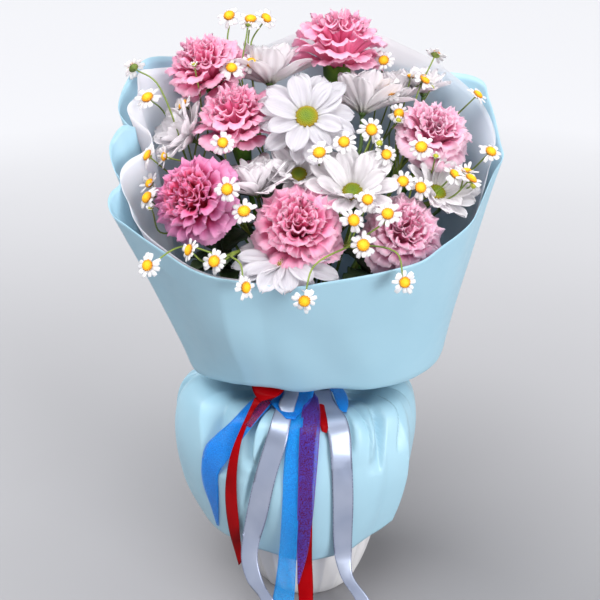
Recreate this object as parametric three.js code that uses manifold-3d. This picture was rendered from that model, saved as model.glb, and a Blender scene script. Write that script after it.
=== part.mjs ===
// A hand-tied bunch of pink carnations with daisy chrysanthemums and chamomile. It is wrapped in
// blue paper over a film liner, tied at the neck with ribbons, and stands in a fluted vase.
// Millimetres, +Z up, +X to the right and -Y to the front. The origin is the centre of the
// vase's foot, on the surface that it stands on.
import * as THREE from 'three';
import { mergeVertices } from 'three/addons/utils/BufferGeometryUtils.js';
import Module from 'manifold-3d';

const wasm = await Module();
wasm.setup();

// ---------------------------------------------------------------- driving dimensions

const GAP = 0.35; // clearance kept between pieces that touch
const FINEST = 0.1; // detail that a cut may leave behind

const VASE_FOOT_RADIUS = 42;
const VASE_RIM_RADIUS = 68;
const VASE_HEIGHT = 118;
const VASE_WALL = 4;
const VASE_FLOOR = 6;
const FLUTES = 24;
const FLUTE_DEPTH = 1.4;

const NECK_LOW = 192; // the gathered neck of the paper, where the ribbons are tied
const NECK_HIGH = 205;
const FILM_NECK_RADIUS = 18.6;
const COLLAR_NECK_RADIUS = 22.6;
const SKIRT_NECK_RADIUS = 26.8;
const PAPER_THICKNESS = 1.5; // several folded layers of paper
const FILM_THICKNESS = 1.0;
const BAND_RADIUS = 29.2;

const CARNATION_STEM = 2.1; // stem radii
const DAISY_STEM = 1.9;
const CHAMOMILE_STEM = 1.2;
const CHAMOMILE_TWIG = 0.8;
const LEAF_STEM = 1.4;
const CALYX_LENGTH = 24;
const CALYX_RADIUS = 8.5;
const FEET_SPREAD = 2.2; // the cut ends stand this much further apart than at the tie
const HUB_SHARE = 0.62; // a spray branches this share of the way out to the middle of its heads

const RIBBON_THICKNESS = 1.0;

// ---------------------------------------------------------------- colours and finishes

function finish(color, roughness, extra = {}) {
  return new THREE.MeshStandardMaterial({ color, roughness, metalness: 0, ...extra });
}

const FINISH = {
  vase: finish(0xf2f2f0, 0.35),
  paper: finish(0xa9d3e2, 0.75),
  film: finish(0xe6e6ea, 0.45, { transparent: true, opacity: 0.7 }),
  twine: finish(0x8f8a62, 0.85),
  carnation: finish(0xeb82aa, 0.7),
  paleCarnation: finish(0xf3a6c6, 0.7),
  daisy: finish(0xf4f3ef, 0.65),
  chamomile: finish(0xe9dfa6, 0.65),
  stem: finish(0x6f8637, 0.6),
  leaf: finish(0x2c3d24, 0.6),
  blueRibbon: finish(0x0a84d8, 0.3),
  redRibbon: finish(0xb5101c, 0.25),
  whiteRibbon: finish(0xd9d9e6, 0.25),
  purpleRibbon: finish(0x86306c, 0.3),
};

// ---------------------------------------------------------------- solids from rings of points

const vec = (x, y, z) => new THREE.Vector3(x, y, z);
const UP = vec(0, 0, 1);

// Joins rings of points into one closed skin. A ring at either end is closed by a fan, unless
// the last ring runs back to the first.
function loft(rings, joinsUp = false) {
  const count = rings[0].length;
  const points = rings.flat();
  const index = [];
  const bands = joinsUp ? rings.length : rings.length - 1;
  for (let band = 0; band < bands; band++) {
    const here = band * count;
    const next = ((band + 1) % rings.length) * count;
    for (let i = 0; i < count; i++) {
      const j = (i + 1) % count;
      index.push(here + i, here + j, next + j, here + i, next + j, next + i);
    }
  }
  if (!joinsUp) {
    for (const [ring, start] of [[rings[0], 0], [rings.at(-1), points.length - count]]) {
      const centre = ring.reduce((sum, p) => sum.add(p), vec(0, 0, 0)).divideScalar(count);
      const apex = points.push(centre) - 1;
      for (let i = 0; i < count; i++) {
        const j = (i + 1) % count;
        if (start === 0) index.push(apex, start + j, start + i);
        else index.push(apex, start + i, start + j);
      }
    }
  }
  const geometry = new THREE.BufferGeometry().setFromPoints(points);
  geometry.setIndex(index);
  return solidOf(geometry);
}

// A closed geometry as a solid. Its faces are turned outwards.
function solidOf(geometry) {
  const merged = mergeVertices(geometry, 1e-4);
  const triVerts = new Uint32Array(merged.index.array);
  const vertProperties = new Float32Array(merged.attributes.position.array);
  const solid = new wasm.Manifold(new wasm.Mesh({ numProp: 3, vertProperties, triVerts }));
  if (solid.volume() > 0) return solid;
  for (let i = 0; i < triVerts.length; i += 3) {
    [triVerts[i], triVerts[i + 1]] = [triVerts[i + 1], triVerts[i]];
  }
  return new wasm.Manifold(new wasm.Mesh({ numProp: 3, vertProperties, triVerts }));
}

function join(solids) {
  return solids.reduce((sum, solid) => sum.add(solid));
}

function circle(radiusAt, z, count) {
  return Array.from({ length: count }, (_, i) => {
    const angle = (2 * Math.PI * i) / count;
    const radius = radiusAt(angle, i);
    return vec(radius * Math.cos(angle), radius * Math.sin(angle), z);
  });
}

// A round rod along a curve; its radius runs from the first value to the second.
function rod(curve, radii, sides, steps, grow = 0) {
  const frames = curve.computeFrenetFrames(steps, false);
  const rings = [];
  for (let s = 0; s <= steps; s++) {
    const u = s / steps;
    const radius = THREE.MathUtils.lerp(radii[0], radii[1], u) + grow;
    const centre = curve.getPointAt(u);
    if (s === 0) centre.addScaledVector(frames.tangents[s], -grow);
    if (s === steps) centre.addScaledVector(frames.tangents[s], grow);
    rings.push(Array.from({ length: sides }, (_, i) => {
      const angle = (2 * Math.PI * i) / sides;
      return centre.clone()
        .addScaledVector(frames.normals[s], radius * Math.cos(angle))
        .addScaledVector(frames.binormals[s], radius * Math.sin(angle));
    }));
  }
  return loft(rings);
}

// Moves a flower head from its own frame, where it looks up from the origin, to its place.
function placed(rings, at, facing) {
  const turn = new THREE.Quaternion().setFromUnitVectors(UP, facing);
  return rings.map((ring) => ring.map((p) => p.clone().applyQuaternion(turn).add(at)));
}

// ---------------------------------------------------------------- vase

function vaseRadius(z) {
  const rise = Math.min(z / VASE_HEIGHT, 1);
  return VASE_FOOT_RADIUS + (VASE_RIM_RADIUS - VASE_FOOT_RADIUS) * Math.sin(rise * Math.PI / 2) ** 0.75;
}

function makeVase() {
  const fluted = (z) => (angle, i) => vaseRadius(z) - (z > 0 && i % 2 ? FLUTE_DEPTH : 0);
  const outside = [0, 4, 30, 70, VASE_HEIGHT].map((z) => circle(fluted(z), z, FLUTES * 2));
  const inside = [VASE_HEIGHT, 50, VASE_FLOOR].map((z) => (
    circle(() => vaseRadius(z) - FLUTE_DEPTH - VASE_WALL, z, FLUTES * 2)));
  return loft([...outside, ...inside]);
}

// ---------------------------------------------------------------- paper and film

// Points all round the rim of the paper, in order from the right. The back stands up behind
// the flowers and the front is folded down.
const COLLAR_RIM = [
  [150, -8, 393], [152, 25, 412], [141, 55, 430], [80, 90, 438], [0, 104, 444], [-70, 98, 448],
  [-122, 70, 448], [-146, 30, 436], [-154, -5, 392], [-144, -32, 354], [-105, -80, 342],
  [-70, -105, 334], [-15, -120, 331], [29, -115, 337], [82, -95, 341], [122, -55, 354],
];
const COLLAR_SAMPLES = 28;

// The bottom fold of the collar is a flattened oval that hangs over the tie.
function collarFold(angle, inset) {
  const x = 7 + (105 - inset) * Math.cos(angle);
  const y = (62 - inset) * Math.sin(angle);
  const z = 224 + 8 * Math.cos(angle) - 10 * Math.max(0, -Math.sin(angle)) + inset;
  return vec(x, y, z);
}

function ringThrough(points) {
  const curve = new THREE.CatmullRomCurve3(points, true);
  return Array.from({ length: COLLAR_SAMPLES }, (_, i) => curve.getPoint(i / COLLAR_SAMPLES));
}

// Rings from the neck out along the underside to the fold, then up to the rim.
function collarRings(neckRadius, inset, rimHeightAt) {
  const levels = [];
  const angles = COLLAR_RIM.map(([x, y]) => Math.atan2(y, x));
  const fold = angles.map((angle) => collarFold(angle, inset));
  const neck = (z) => angles.map((a) => vec(neckRadius * Math.cos(a), neckRadius * Math.sin(a), z));
  const rim = COLLAR_RIM.map(([x, y, z], i) => {
    const reach = 1 - inset / Math.hypot(x, y);
    return vec(x * reach, y * reach, z + rimHeightAt(angles[i]));
  });
  const between = (a, b, t) => a.map((p, i) => p.clone().lerp(b[i], t));
  const top = neck(NECK_HIGH + inset);
  levels.push(neck(NECK_LOW), top, between(top, fold, 0.55), fold);
  levels.push(between(fold, rim, 0.5), rim);
  return levels.map(ringThrough);
}

// A thin wall: the rings, then the same rings moved inwards along the surface's normal.
function wall(rings, thickness, grow) {
  const count = rings[0].length;
  const moved = (distance) => rings.map((ring, s) => ring.map((p, i) => {
    const along = rings[Math.min(s + 1, rings.length - 1)][i].clone();
    along.sub(rings[Math.max(s - 1, 0)][i]);
    const round = ring[(i + 1) % count].clone().sub(ring[(i + count - 1) % count]);
    return p.clone().addScaledVector(round.cross(along).normalize(), distance);
  }));
  return loft([...moved(grow), ...moved(-thickness - grow).reverse()], true);
}

function makeCollar(grow) {
  return wall(collarRings(COLLAR_NECK_RADIUS, 0, () => 0), PAPER_THICKNESS, grow);
}

// The film stands a little above the paper at the back and stays below it at the front.
function makeFilm(grow) {
  const height = (angle) => 4 + 12 * Math.sin(angle);
  return wall(collarRings(FILM_NECK_RADIUS, 7, height), FILM_THICKNESS, grow);
}

// Radius and height down the skirt from the neck: out under the collar, round, and in to the hem.
const SKIRT_PROFILE = [
  [SKIRT_NECK_RADIUS, NECK_HIGH - 3], [SKIRT_NECK_RADIUS, NECK_LOW], [47, 189], [76, 195], [98, 191],
  [108, 171], [110, 140], [104, 108], [94, 80], [84, 57],
];
const SKIRT_SAMPLES = 24;

// The skirt is fuller on the left than on the right, and flatter at the front and back.
function skirtReach(angle) {
  const side = 0.91 - 0.12 * Math.cos(angle);
  const depth = 0.77 + 0.03 * Math.sin(angle);
  return 1 / Math.hypot(Math.cos(angle) / side, Math.sin(angle) / depth);
}

function skirtRadius(radius, angle) {
  return SKIRT_NECK_RADIUS + (radius - SKIRT_NECK_RADIUS) * skirtReach(angle);
}

function makeSkirt(grow) {
  const rings = SKIRT_PROFILE.map(([radius, z]) => (
    circle((angle) => skirtRadius(radius, angle), z, SKIRT_SAMPLES)));
  return wall(rings.reverse(), PAPER_THICKNESS, grow);
}

// ---------------------------------------------------------------- flowers, by their places

// Centre of each bloom, the way it looks, and its radius.
const CARNATIONS = [
  { at: [-81, 45, 450], facing: [-0.35, -0.25, 0.9], radius: 31 },
  { at: [25, 60, 455], facing: [0.1, 0.4, 0.9], radius: 33 },
  { at: [-55, 0, 421], facing: [-0.15, -0.05, 1], radius: 32 },
  { at: [97, 0, 409], facing: [0.25, -0.45, 0.86], radius: 30 },
  { at: [-84, -55, 375], facing: [-0.45, -0.65, 0.6], radius: 33, strong: true },
  { at: [-7, -75, 361], facing: [0, -0.6, 0.8], radius: 32, strong: true },
  { at: [71, -60, 350], facing: [0.3, -0.6, 0.74], radius: 31 },
];

// Sprays of daisy chrysanthemums: the height where each one branches, and its heads, each with
// its place, the way it looks and its radius.
const DAISY_SPRAYS = [
  { branches: 318, heads: [
    { at: [-1, -20, 426], facing: [0, -0.75, 0.66], radius: 35 },
    { at: [-30, 45, 435], facing: [-0.2, -0.4, 0.9], radius: 31 },
    { at: [43, 25, 417], facing: [0.1, 0.2, 0.97], radius: 30 },
  ] },
  { branches: 318, heads: [
    { at: [-101, 18, 403], facing: [-0.6, -0.3, 0.75], radius: 25 },
    { at: [-40, -35, 387], facing: [-0.3, -0.3, 0.9], radius: 26 },
  ] },
  { branches: 292, heads: [
    { at: [-7, -28, 385], facing: [0, -0.7, 0.7], radius: 25 },
    { at: [33, -45, 376], facing: [0, -0.7, 0.7], radius: 30 },
    { at: [-21, -91, 331], facing: [0, -0.3, 0.95], radius: 33, past: [-27, -64, 316] },
  ] },
  { branches: 318, heads: [
    { at: [75, 55, 423], facing: [0.1, -0.3, 0.95], radius: 26 },
    { at: [98, 52, 430], facing: [0.4, -0.2, 0.9], radius: 21 },
  ] },
  { branches: 318, heads: [
    { at: [98, -26, 368], facing: [0.4, -0.5, 0.77], radius: 26 },
    { at: [115, 4, 374], facing: [0.6, -0.1, 0.8], radius: 20 },
  ] },
];

// Sprays of chamomile: each head has its place, the way it looks and, where its twig has to
// reach over something, a point that the twig passes.
const OUT_LEFT = [-0.6, -0.4, 0.7];
const OUT_RIGHT = [0.55, -0.4, 0.75];
const OUT_FRONT = [0, -0.8, 0.6];
const CHAMOMILE_SPRAYS = [
  {
    heads: [
      { at: [-131, 40, 448], facing: OUT_LEFT }, { at: [-119, 22, 437], facing: OUT_LEFT },
      { at: [-97, 22, 424], facing: OUT_LEFT }, { at: [-121, -22, 397], facing: OUT_LEFT },
    ],
  },
  {
    heads: [
      { at: [-62, 66, 486], facing: [-0.2, 0.1, 1] }, { at: [-45, 62, 484], facing: [0.1, -0.2, 1] },
      { at: [-32, 68, 483], facing: [0.4, 0.1, 0.9] }, { at: [-44, 38, 456], facing: [0, -0.7, 0.7] },
      { at: [-60, 26, 462], facing: [0, -0.6, 0.8] },
    ],
  },
  {
    heads: [
      { at: [-63, -38, 412], facing: OUT_FRONT }, { at: [-120, -46, 372], facing: OUT_LEFT },
      { at: [-58, -78, 390], facing: OUT_FRONT }, { at: [-46, -86, 376], facing: OUT_FRONT },
    ],
  },
  {
    heads: [
      { at: [-85, -100, 352], facing: OUT_LEFT }, { at: [-67, -104, 345], facing: OUT_FRONT },
      { at: [-113, -116, 347], facing: [-0.4, -0.8, 0.4], past: [-90, -88, 350] },
      { at: [-44, -129, 336], facing: [0.6, -0.7, 0.3], past: [-48, -108, 344] },
    ],
  },
  {
    heads: [
      { at: [8, -62, 412], facing: OUT_FRONT }, { at: [26, -52, 417], facing: OUT_FRONT },
      { at: [47, -28, 419], facing: OUT_FRONT }, { at: [58, -38, 403], facing: OUT_FRONT },
    ],
  },
  {
    heads: [
      { at: [39, -101, 356], facing: OUT_FRONT }, { at: [32, -93, 372], facing: OUT_FRONT },
      { at: [42, -86, 385], facing: OUT_FRONT }, { at: [56, -96, 378], facing: OUT_FRONT },
      { at: [-3, -134, 328], facing: [0, -0.95, -0.1], past: [4, -112, 345] },
      { at: [68, -116, 334], facing: [0.2, -0.95, 0.1], past: [62, -98, 350] },
    ],
  },
  {
    heads: [
      { at: [70, -50, 386], facing: OUT_FRONT }, { at: [83, -52, 382], facing: OUT_FRONT },
      { at: [84, -36, 408], facing: OUT_FRONT }, { at: [109, -40, 388], facing: OUT_RIGHT },
      { at: [121, -44, 386], facing: OUT_RIGHT }, { at: [138, -22, 400], facing: OUT_RIGHT },
    ],
  },
  {
    heads: [
      { at: [101, 50, 457], facing: OUT_RIGHT }, { at: [91, 30, 442], facing: OUT_RIGHT },
      { at: [132, 22, 432], facing: OUT_RIGHT }, { at: [70, 4, 422], facing: OUT_FRONT },
    ],
  },
  {
    heads: [
      { at: [60, 46, 453], facing: OUT_FRONT }, { at: [64, 20, 436], facing: OUT_FRONT },
    ],
  },
];
const CHAMOMILE_RADIUS = 10;
const CHAMOMILE_BRANCHES = 340; // height where the sprays branch

// Leafy sprigs that fill the bunch below the flowers: where each one tops out.
const LEAF_SPRIGS = [[-58, -42, 312], [48, -48, 300], [30, 30, 340], [-24, 32, 340]];

// ---------------------------------------------------------------- stems

const toVector = ([x, y, z]) => vec(x, y, z);

function meanPlace(heads) {
  const sum = heads.reduce((total, head) => total.add(toVector(head.at)), vec(0, 0, 0));
  return sum.divideScalar(heads.length);
}

// Where the twigs of a spray leave its main stem.
function sprayHub(heads, height) {
  const mean = meanPlace(heads);
  return vec(mean.x * HUB_SHARE, mean.y * HUB_SHARE, height);
}

// At the tie the stems stand in rings: one in the middle, seven round it, the rest outside.
const TIE_RINGS = [{ radius: 0, places: 1 }, { radius: 6.2, places: 7 }, { radius: 12.6, places: 17 }];

function placeInTie(stems) {
  const fromMiddle = [...stems].sort((a, b) => Math.hypot(a.top.x, a.top.y) - Math.hypot(b.top.x, b.top.y));
  for (const { radius, places } of TIE_RINGS) {
    const ring = fromMiddle.splice(0, places);
    const azimuth = (stem) => Math.atan2(stem.top.y, stem.top.x);
    ring.sort((a, b) => azimuth(a) - azimuth(b));
    const step = (2 * Math.PI) / ring.length;
    const drift = ring.reduce((sum, stem, i) => sum + azimuth(stem) + Math.PI - i * step, 0) / ring.length;
    ring.forEach((stem, i) => {
      const angle = i * step + drift - Math.PI;
      stem.tie = vec(radius * Math.cos(angle), radius * Math.sin(angle), 0);
    });
  }
}

// A stem's line: from its cut end in the vase, straight up through the tie, and out to its top.
function stemLine({ tie, top, lean }) {
  const path = new THREE.CurvePath();
  const foot = tie.clone().multiplyScalar(FEET_SPREAD).setZ(VASE_FLOOR + GAP);
  const low = tie.clone().setZ(NECK_LOW - 6);
  const high = tie.clone().setZ(NECK_HIGH + 4);
  const leaving = foot.clone().lerp(low, 0.35);
  const arriving = low.clone().setZ(low.z - 40);
  const reach = high.distanceTo(top) * 0.4;
  const rising = high.clone().setZ(high.z + reach * 0.6);
  const opening = top.clone().addScaledVector(lean, -reach);
  path.add(new THREE.CubicBezierCurve3(foot, leaving, arriving, low));
  path.add(new THREE.LineCurve3(low, high));
  path.add(new THREE.CubicBezierCurve3(high, rising, opening, top));
  return path;
}

function sampled(path, count) {
  return new THREE.CatmullRomCurve3(path.getSpacedPoints(count), false, 'centripetal');
}

function stemRod(stem, radii, sides, steps, grow) {
  return rod(sampled(stemLine(stem), steps), radii, sides, steps, grow);
}

// ---------------------------------------------------------------- carnations

function carnationStem(flower) {
  const facing = toVector(flower.facing).normalize();
  const top = toVector(flower.at).addScaledVector(facing, -0.6 * flower.radius - CALYX_LENGTH);
  return { top, lean: facing, facing, at: toVector(flower.at) };
}

function makeCarnationStem(flower, stem, grow) {
  const base = stem.top;
  const profile = [[3, -2], [5.6, 4], [CALYX_RADIUS, CALYX_LENGTH + 2]];
  const rings = profile.map(([radius, z], i) => {
    const end = i === profile.length - 1 ? grow : 0;
    return circle(() => radius + grow, z + end, 8);
  });
  const calyx = loft(placed(rings, base, stem.facing));
  return join([stemRod(stem, [CARNATION_STEM, CARNATION_STEM], 5, 10, grow), calyx]);
}

// Rings of a flower head: reach from its axis and height along it, the ends moved out by grow.
function headRings(profile, count, grow, shape) {
  return profile.map(([radius, z], level) => {
    const end = level === 0 ? -grow : grow * (level === profile.length - 1);
    return circle((angle, i) => shape(radius, level, i) + grow, z + end, count);
  });
}

// The bloom is a round head of ruffled petals that narrows to the calyx.
const BLOOM_PROFILE = [[0.4, -0.6], [1, -0.12], [0.9, 0.3], [0.5, 0.54]];

function makeBloom(flower, grow) {
  const facing = toVector(flower.facing).normalize();
  const profile = BLOOM_PROFILE.map(([reach, rise]) => [reach * flower.radius, rise * flower.radius]);
  const ruffle = (radius, level, i) => radius * (i % 2 === level % 2 ? 1 : 0.9);
  return loft(placed(headRings(profile, 14, grow, ruffle), toVector(flower.at), facing));
}

// ---------------------------------------------------------------- daisy chrysanthemums

function makeDaisyHead(head, grow) {
  const facing = toVector(head.facing).normalize();
  const profile = [[5, -5], [head.radius, 2.5], [head.radius, 4], [8, 6]];
  const petals = (radius, level, i) => radius * (level % 3 && i % 2 ? 0.86 : 1);
  return loft(placed(headRings(profile, 14, grow, petals), toVector(head.at), facing));
}

function sprayStem(heads, height) {
  const top = sprayHub(heads, height);
  return { top, lean: meanPlace(heads).sub(top).normalize() };
}

// A twig from the spray's hub to the underside of a head.
function twig(hub, lean, head, radii, sides, steps, grow, seat) {
  const facing = toVector(head.facing).normalize();
  const end = toVector(head.at).addScaledVector(facing, -seat);
  const start = hub.clone().addScaledVector(lean, -2);
  const reach = start.distanceTo(end) * 0.3;
  const points = [start, start.clone().addScaledVector(lean, reach)];
  if (head.past) points.push(toVector(head.past));
  else points.push(end.clone().addScaledVector(facing, -reach));
  points.push(end);
  const line = new THREE.CatmullRomCurve3(points, false, 'centripetal');
  return rod(line, radii, sides, steps, grow);
}

function makeDaisySpray(heads, stem, grow) {
  const twigs = heads.map((head) => twig(stem.top, stem.lean, head, [1.6, 1.5], 4, 4, grow, 3));
  return join([stemRod(stem, [DAISY_STEM, DAISY_STEM], 5, 9, grow), ...twigs]);
}

// ---------------------------------------------------------------- chamomile

// The flat ring of white petals with its raised middle.
function makeChamomileHead(head, grow) {
  const facing = toVector(head.facing).normalize();
  const profile = [[1.2, -2], [CHAMOMILE_RADIUS, 0.4], [3, 3.6]];
  const rings = headRings(profile, 6, grow, (radius) => radius);
  return loft(placed(rings, toVector(head.at), facing));
}

function makeChamomileSpray(spray, stem, grow) {
  const heads = spray.heads.map((head) => makeChamomileHead(head, grow));
  const twigs = spray.heads.map((head) => (
    twig(stem.top, stem.lean, head, [CHAMOMILE_TWIG, CHAMOMILE_TWIG], 4, 3, grow, 1)));
  const main = stemRod(stem, [CHAMOMILE_STEM, CHAMOMILE_STEM], 4, 9, grow);
  return join([main, ...twigs, ...heads]);
}

// ---------------------------------------------------------------- leaves

// A pointed blade that leaves the sprig and arches outwards.
function makeBlade(root, azimuth, length, width, grow) {
  const out = vec(Math.cos(azimuth), Math.sin(azimuth), 0);
  const across = vec(-out.y, out.x, 0);
  const sections = [[0, 0.12], [0.35, 0.9], [0.7, 0.8], [1, 0.08]];
  const rings = sections.map(([u, fullness]) => {
    const centre = root.clone().addScaledVector(out, length * u);
    centre.z += length * (0.7 * u - 0.55 * u * u);
    const half = (width / 2) * fullness + grow;
    const thick = 0.7 + grow;
    return [
      centre.clone().addScaledVector(across, half), centre.clone().addScaledVector(UP, thick),
      centre.clone().addScaledVector(across, -half), centre.clone().addScaledVector(UP, -thick),
    ];
  });
  return loft(rings);
}

function makeLeafSprig(stem, grow) {
  const azimuth = Math.atan2(stem.top.y, stem.top.x);
  const root = stem.top.clone().addScaledVector(stem.lean, -1.5);
  const blades = [-0.9, 0, 0.9].map((turn) => makeBlade(root, azimuth + turn, 38, 20, grow));
  return join([stemRod(stem, [LEAF_STEM, LEAF_STEM], 4, 8, grow), ...blades]);
}

// ---------------------------------------------------------------- tie and ribbons

// A flat hoop round the bunch.
function hoop(inner, outer, low, high) {
  const ring = (radius, z) => circle(() => radius, z, 24);
  return loft([ring(inner, low), ring(outer, low), ring(outer, high), ring(inner, high)], true);
}

// Twine wound tightly round the stems, just inside the paper's neck.
function makeTie(grow) {
  return hoop(11.5 - grow, 17 + grow, NECK_LOW + 2 - grow, NECK_HIGH - 4 + grow);
}

// Satin wound round the outside of the gathered neck.
function makeBand(grow) {
  return hoop(SKIRT_NECK_RADIUS + GAP, BAND_RADIUS + grow, NECK_LOW + 2.5 - grow, NECK_HIGH - 4 + grow);
}

// How far forward the skirt stands at a place on its front, found along its profile.
function skirtFront(x, z) {
  const drop = SKIRT_PROFILE.slice(2);
  const above = drop.filter(([, height]) => height > z).at(-1) ?? drop[0];
  const below = drop[drop.indexOf(above) + 1] ?? above;
  const t = above === below ? 0 : (above[1] - z) / (above[1] - below[1]);
  const radius = THREE.MathUtils.lerp(above[0], below[0], THREE.MathUtils.clamp(t, 0, 1));
  let y = -radius;
  for (let pass = 0; pass < 6; pass++) {
    const angle = Math.atan2(y, x);
    const reach = skirtRadius(radius, angle);
    y = -Math.sqrt(Math.max(reach * reach - x * x, 0));
  }
  return y;
}

// A flat band through its centre points, each with the way the band's face looks there. It is
// gathered to half its width at its start.
function strip(path, width, grow) {
  const curve = new THREE.CatmullRomCurve3(path.map(({ at }) => at), false, 'centripetal');
  const steps = Math.round(path.length * 1.5);
  const rings = [];
  for (let s = 0; s <= steps; s++) {
    const u = s / steps;
    const along = curve.getTangent(u);
    const centre = curve.getPoint(u);
    const place = u * (path.length - 1);
    const before = path[Math.floor(place)].face;
    const face = before.clone().lerp(path[Math.ceil(place)].face, place % 1);
    const across = along.clone().cross(face).normalize();
    const through = across.clone().cross(along).normalize();
    const half = (width / 2) * Math.min(1, 0.5 + 1.6 * u) + grow;
    const corner = (a, b) => centre.clone()
      .addScaledVector(across, a * half)
      .addScaledVector(through, b * (RIBBON_THICKNESS / 2 + grow));
    rings.push([corner(1, 1), corner(-1, 1), corner(-1, -1), corner(1, -1)]);
  }
  return loft(rings);
}

// A ribbon tail. It leaves the knot over the top of the skirt, lies down the skirt's front
// through the given places (across and up), and hangs free below. A long one runs out along
// the surface.
const SHOULDER = [{ y: -42, z: 192.5 }, { y: -60, z: 198 }, { y: -75, z: 197.5 }];
const RIBBON_LIFT = 1.3;

function makeTail({ from, width, over, ends }, grow) {
  const path = SHOULDER.map(({ y, z }, i) => {
    const x = THREE.MathUtils.lerp(from, over[0][0], i * 0.42);
    return { at: vec(x, y, z), face: vec(0, -0.25 * i, 1) };
  });
  for (const [x, z] of over) {
    const y = skirtFront(x, z);
    const slopeX = (skirtFront(x + 2, z) - skirtFront(x - 2, z)) / 4;
    const slopeZ = (skirtFront(x, z + 2) - skirtFront(x, z - 2)) / 4;
    const face = vec(slopeX, -1, slopeZ).normalize();
    path.push({ at: vec(x, y, z).addScaledVector(face, RIBBON_LIFT), face });
  }
  for (const [x, y, z] of ends) {
    const onSurface = z < 5;
    path.push({ at: vec(x, y, z), face: onSurface ? UP.clone() : path.at(-1).face.clone().setZ(0) });
  }
  return strip(path, width, grow);
}

const TAILS = {
  ribbon_tail_blue_left: {
    finish: FINISH.blueRibbon, from: -15, width: 21,
    over: [[-48, 187], [-63, 174], [-75, 152], [-79, 128]], ends: [[-78, -63, 104], [-74, -62, 84]],
  },
  ribbon_tail_red_left: {
    finish: FINISH.redRibbon, from: -11, width: 9.5,
    over: [[-34, 188], [-41, 172], [-49, 148], [-52, 126]],
    ends: [[-54, -76, 100], [-56, -72, 72], [-57, -68, 47]],
  },
  ribbon_tail_white_left: {
    finish: FINISH.whiteRibbon, from: -7, width: 17,
    over: [[-18, 187], [-24, 170], [-30, 148], [-34, 126]],
    ends: [[-38, -84, 98], [-43, -78, 62], [-42, -82, 20], [-38, -98, 2], [-34, -134, 1.4]],
  },
  ribbon_tail_blue_centre: {
    finish: FINISH.blueRibbon, from: -3, width: 14,
    over: [[-5, 187], [-8, 170], [-12, 148], [-14, 126]],
    ends: [[-16, -87, 98], [-18, -81, 62], [-19, -84, 20], [-18, -99, 2], [-16, -130, 1.4]],
  },
  ribbon_tail_red_centre: {
    finish: FINISH.purpleRibbon, from: 1, width: 10.5,
    over: [[5, 187], [4, 170], [3, 148], [2, 126]],
    ends: [[1, -87, 98], [0, -82, 62], [-1, -86, 20], [0, -100, 2], [2, -128, 1.4]],
  },
  ribbon_tail_white_right: {
    finish: FINISH.whiteRibbon, from: 6, width: 16.5,
    over: [[20, 187], [23, 170], [26, 148], [27, 126]],
    ends: [[28, -85, 98], [31, -80, 62], [36, -84, 22], [46, -99, 2], [54, -134, 1.4]],
  },
};

// The knot of the ribbons, tied at the front of the neck.
function makeKnot(grow) {
  const profile = [[2.4, -11], [4.8, -7], [4.8, 7], [2.4, 11]];
  const rings = headRings(profile, 8, grow, (radius) => radius);
  return loft(placed(rings, vec(-5, -BAND_RADIUS - 5.5, 198), vec(1, 0, 0)));
}

// A loop of the bow: a band that leaves the knot, turns round and comes back to it.
const LOOPS = {
  bow_loop_blue: {
    finish: FINISH.blueRibbon, width: 11,
    path: [
      [7, -41, 200], [16, -48, 205], [27, -52, 204], [30, -53, 200], [24, -51, 198], [9, -44, 196],
    ],
  },
  bow_loop_red: {
    finish: FINISH.redRibbon, width: 9,
    path: [
      [-17, -40, 201], [-26, -46, 206], [-36, -48, 205], [-39, -49, 201], [-32, -48, 199],
      [-18, -43, 197],
    ],
  },
};

function makeLoop({ path, width }, grow) {
  return strip(path.map((at) => ({ at: toVector(at), face: vec(0, -0.8, 0.6) })), width, grow);
}

// ---------------------------------------------------------------- the bunch

const bunch = new THREE.Group();
let filled = null; // everything made so far, grown by the clearance

function largest(solid) {
  return solid.decompose().reduce((most, part) => (part.volume() > most.volume() ? part : most));
}

// Adds a piece. It gives way to the pieces before it, and those after it give way to it.
function addPiece(name, material, make) {
  const solid = make(0);
  const grown = make(GAP);
  const body = largest(largest(filled ? solid.subtract(filled) : solid).simplify(FINEST));
  filled = filled ? filled.add(grown) : grown;
  const mesh = body.getMesh();
  const geometry = new THREE.BufferGeometry();
  geometry.setAttribute('position', new THREE.BufferAttribute(mesh.vertProperties, 3));
  geometry.setIndex(new THREE.BufferAttribute(mesh.triVerts, 1));
  geometry.computeVertexNormals();
  const piece = new THREE.Mesh(geometry, material);
  piece.name = name;
  bunch.add(piece);
}

const carnationStems = CARNATIONS.map(carnationStem);
const daisyStems = DAISY_SPRAYS.map((spray) => sprayStem(spray.heads, spray.branches));
const chamomileStems = CHAMOMILE_SPRAYS.map((spray) => sprayStem(spray.heads, CHAMOMILE_BRANCHES));
const leafStems = LEAF_SPRIGS.map((top) => {
  const end = toVector(top);
  return { top: end, lean: vec(end.x, end.y, 160).normalize() };
});
placeInTie([...carnationStems, ...daisyStems, ...chamomileStems, ...leafStems]);

addPiece('vase', FINISH.vase, makeVase);
CHAMOMILE_SPRAYS.forEach((spray, i) => {
  const make = (grow) => makeChamomileSpray(spray, chamomileStems[i], grow);
  addPiece(`chamomile_spray_${i + 1}`, FINISH.chamomile, make);
});
CARNATIONS.forEach((flower, i) => {
  const make = (grow) => makeCarnationStem(flower, carnationStems[i], grow);
  addPiece(`carnation_stem_${i + 1}`, FINISH.stem, make);
});
DAISY_SPRAYS.forEach(({ heads }, i) => {
  addPiece(`daisy_stem_${i + 1}`, FINISH.stem, (grow) => makeDaisySpray(heads, daisyStems[i], grow));
});
leafStems.forEach((stem, i) => {
  addPiece(`leaf_sprig_${i + 1}`, FINISH.leaf, (grow) => makeLeafSprig(stem, grow));
});
addPiece('stem_tie', FINISH.twine, makeTie);
addPiece('film_liner', FINISH.film, makeFilm);
addPiece('paper_collar', FINISH.paper, makeCollar);
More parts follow.
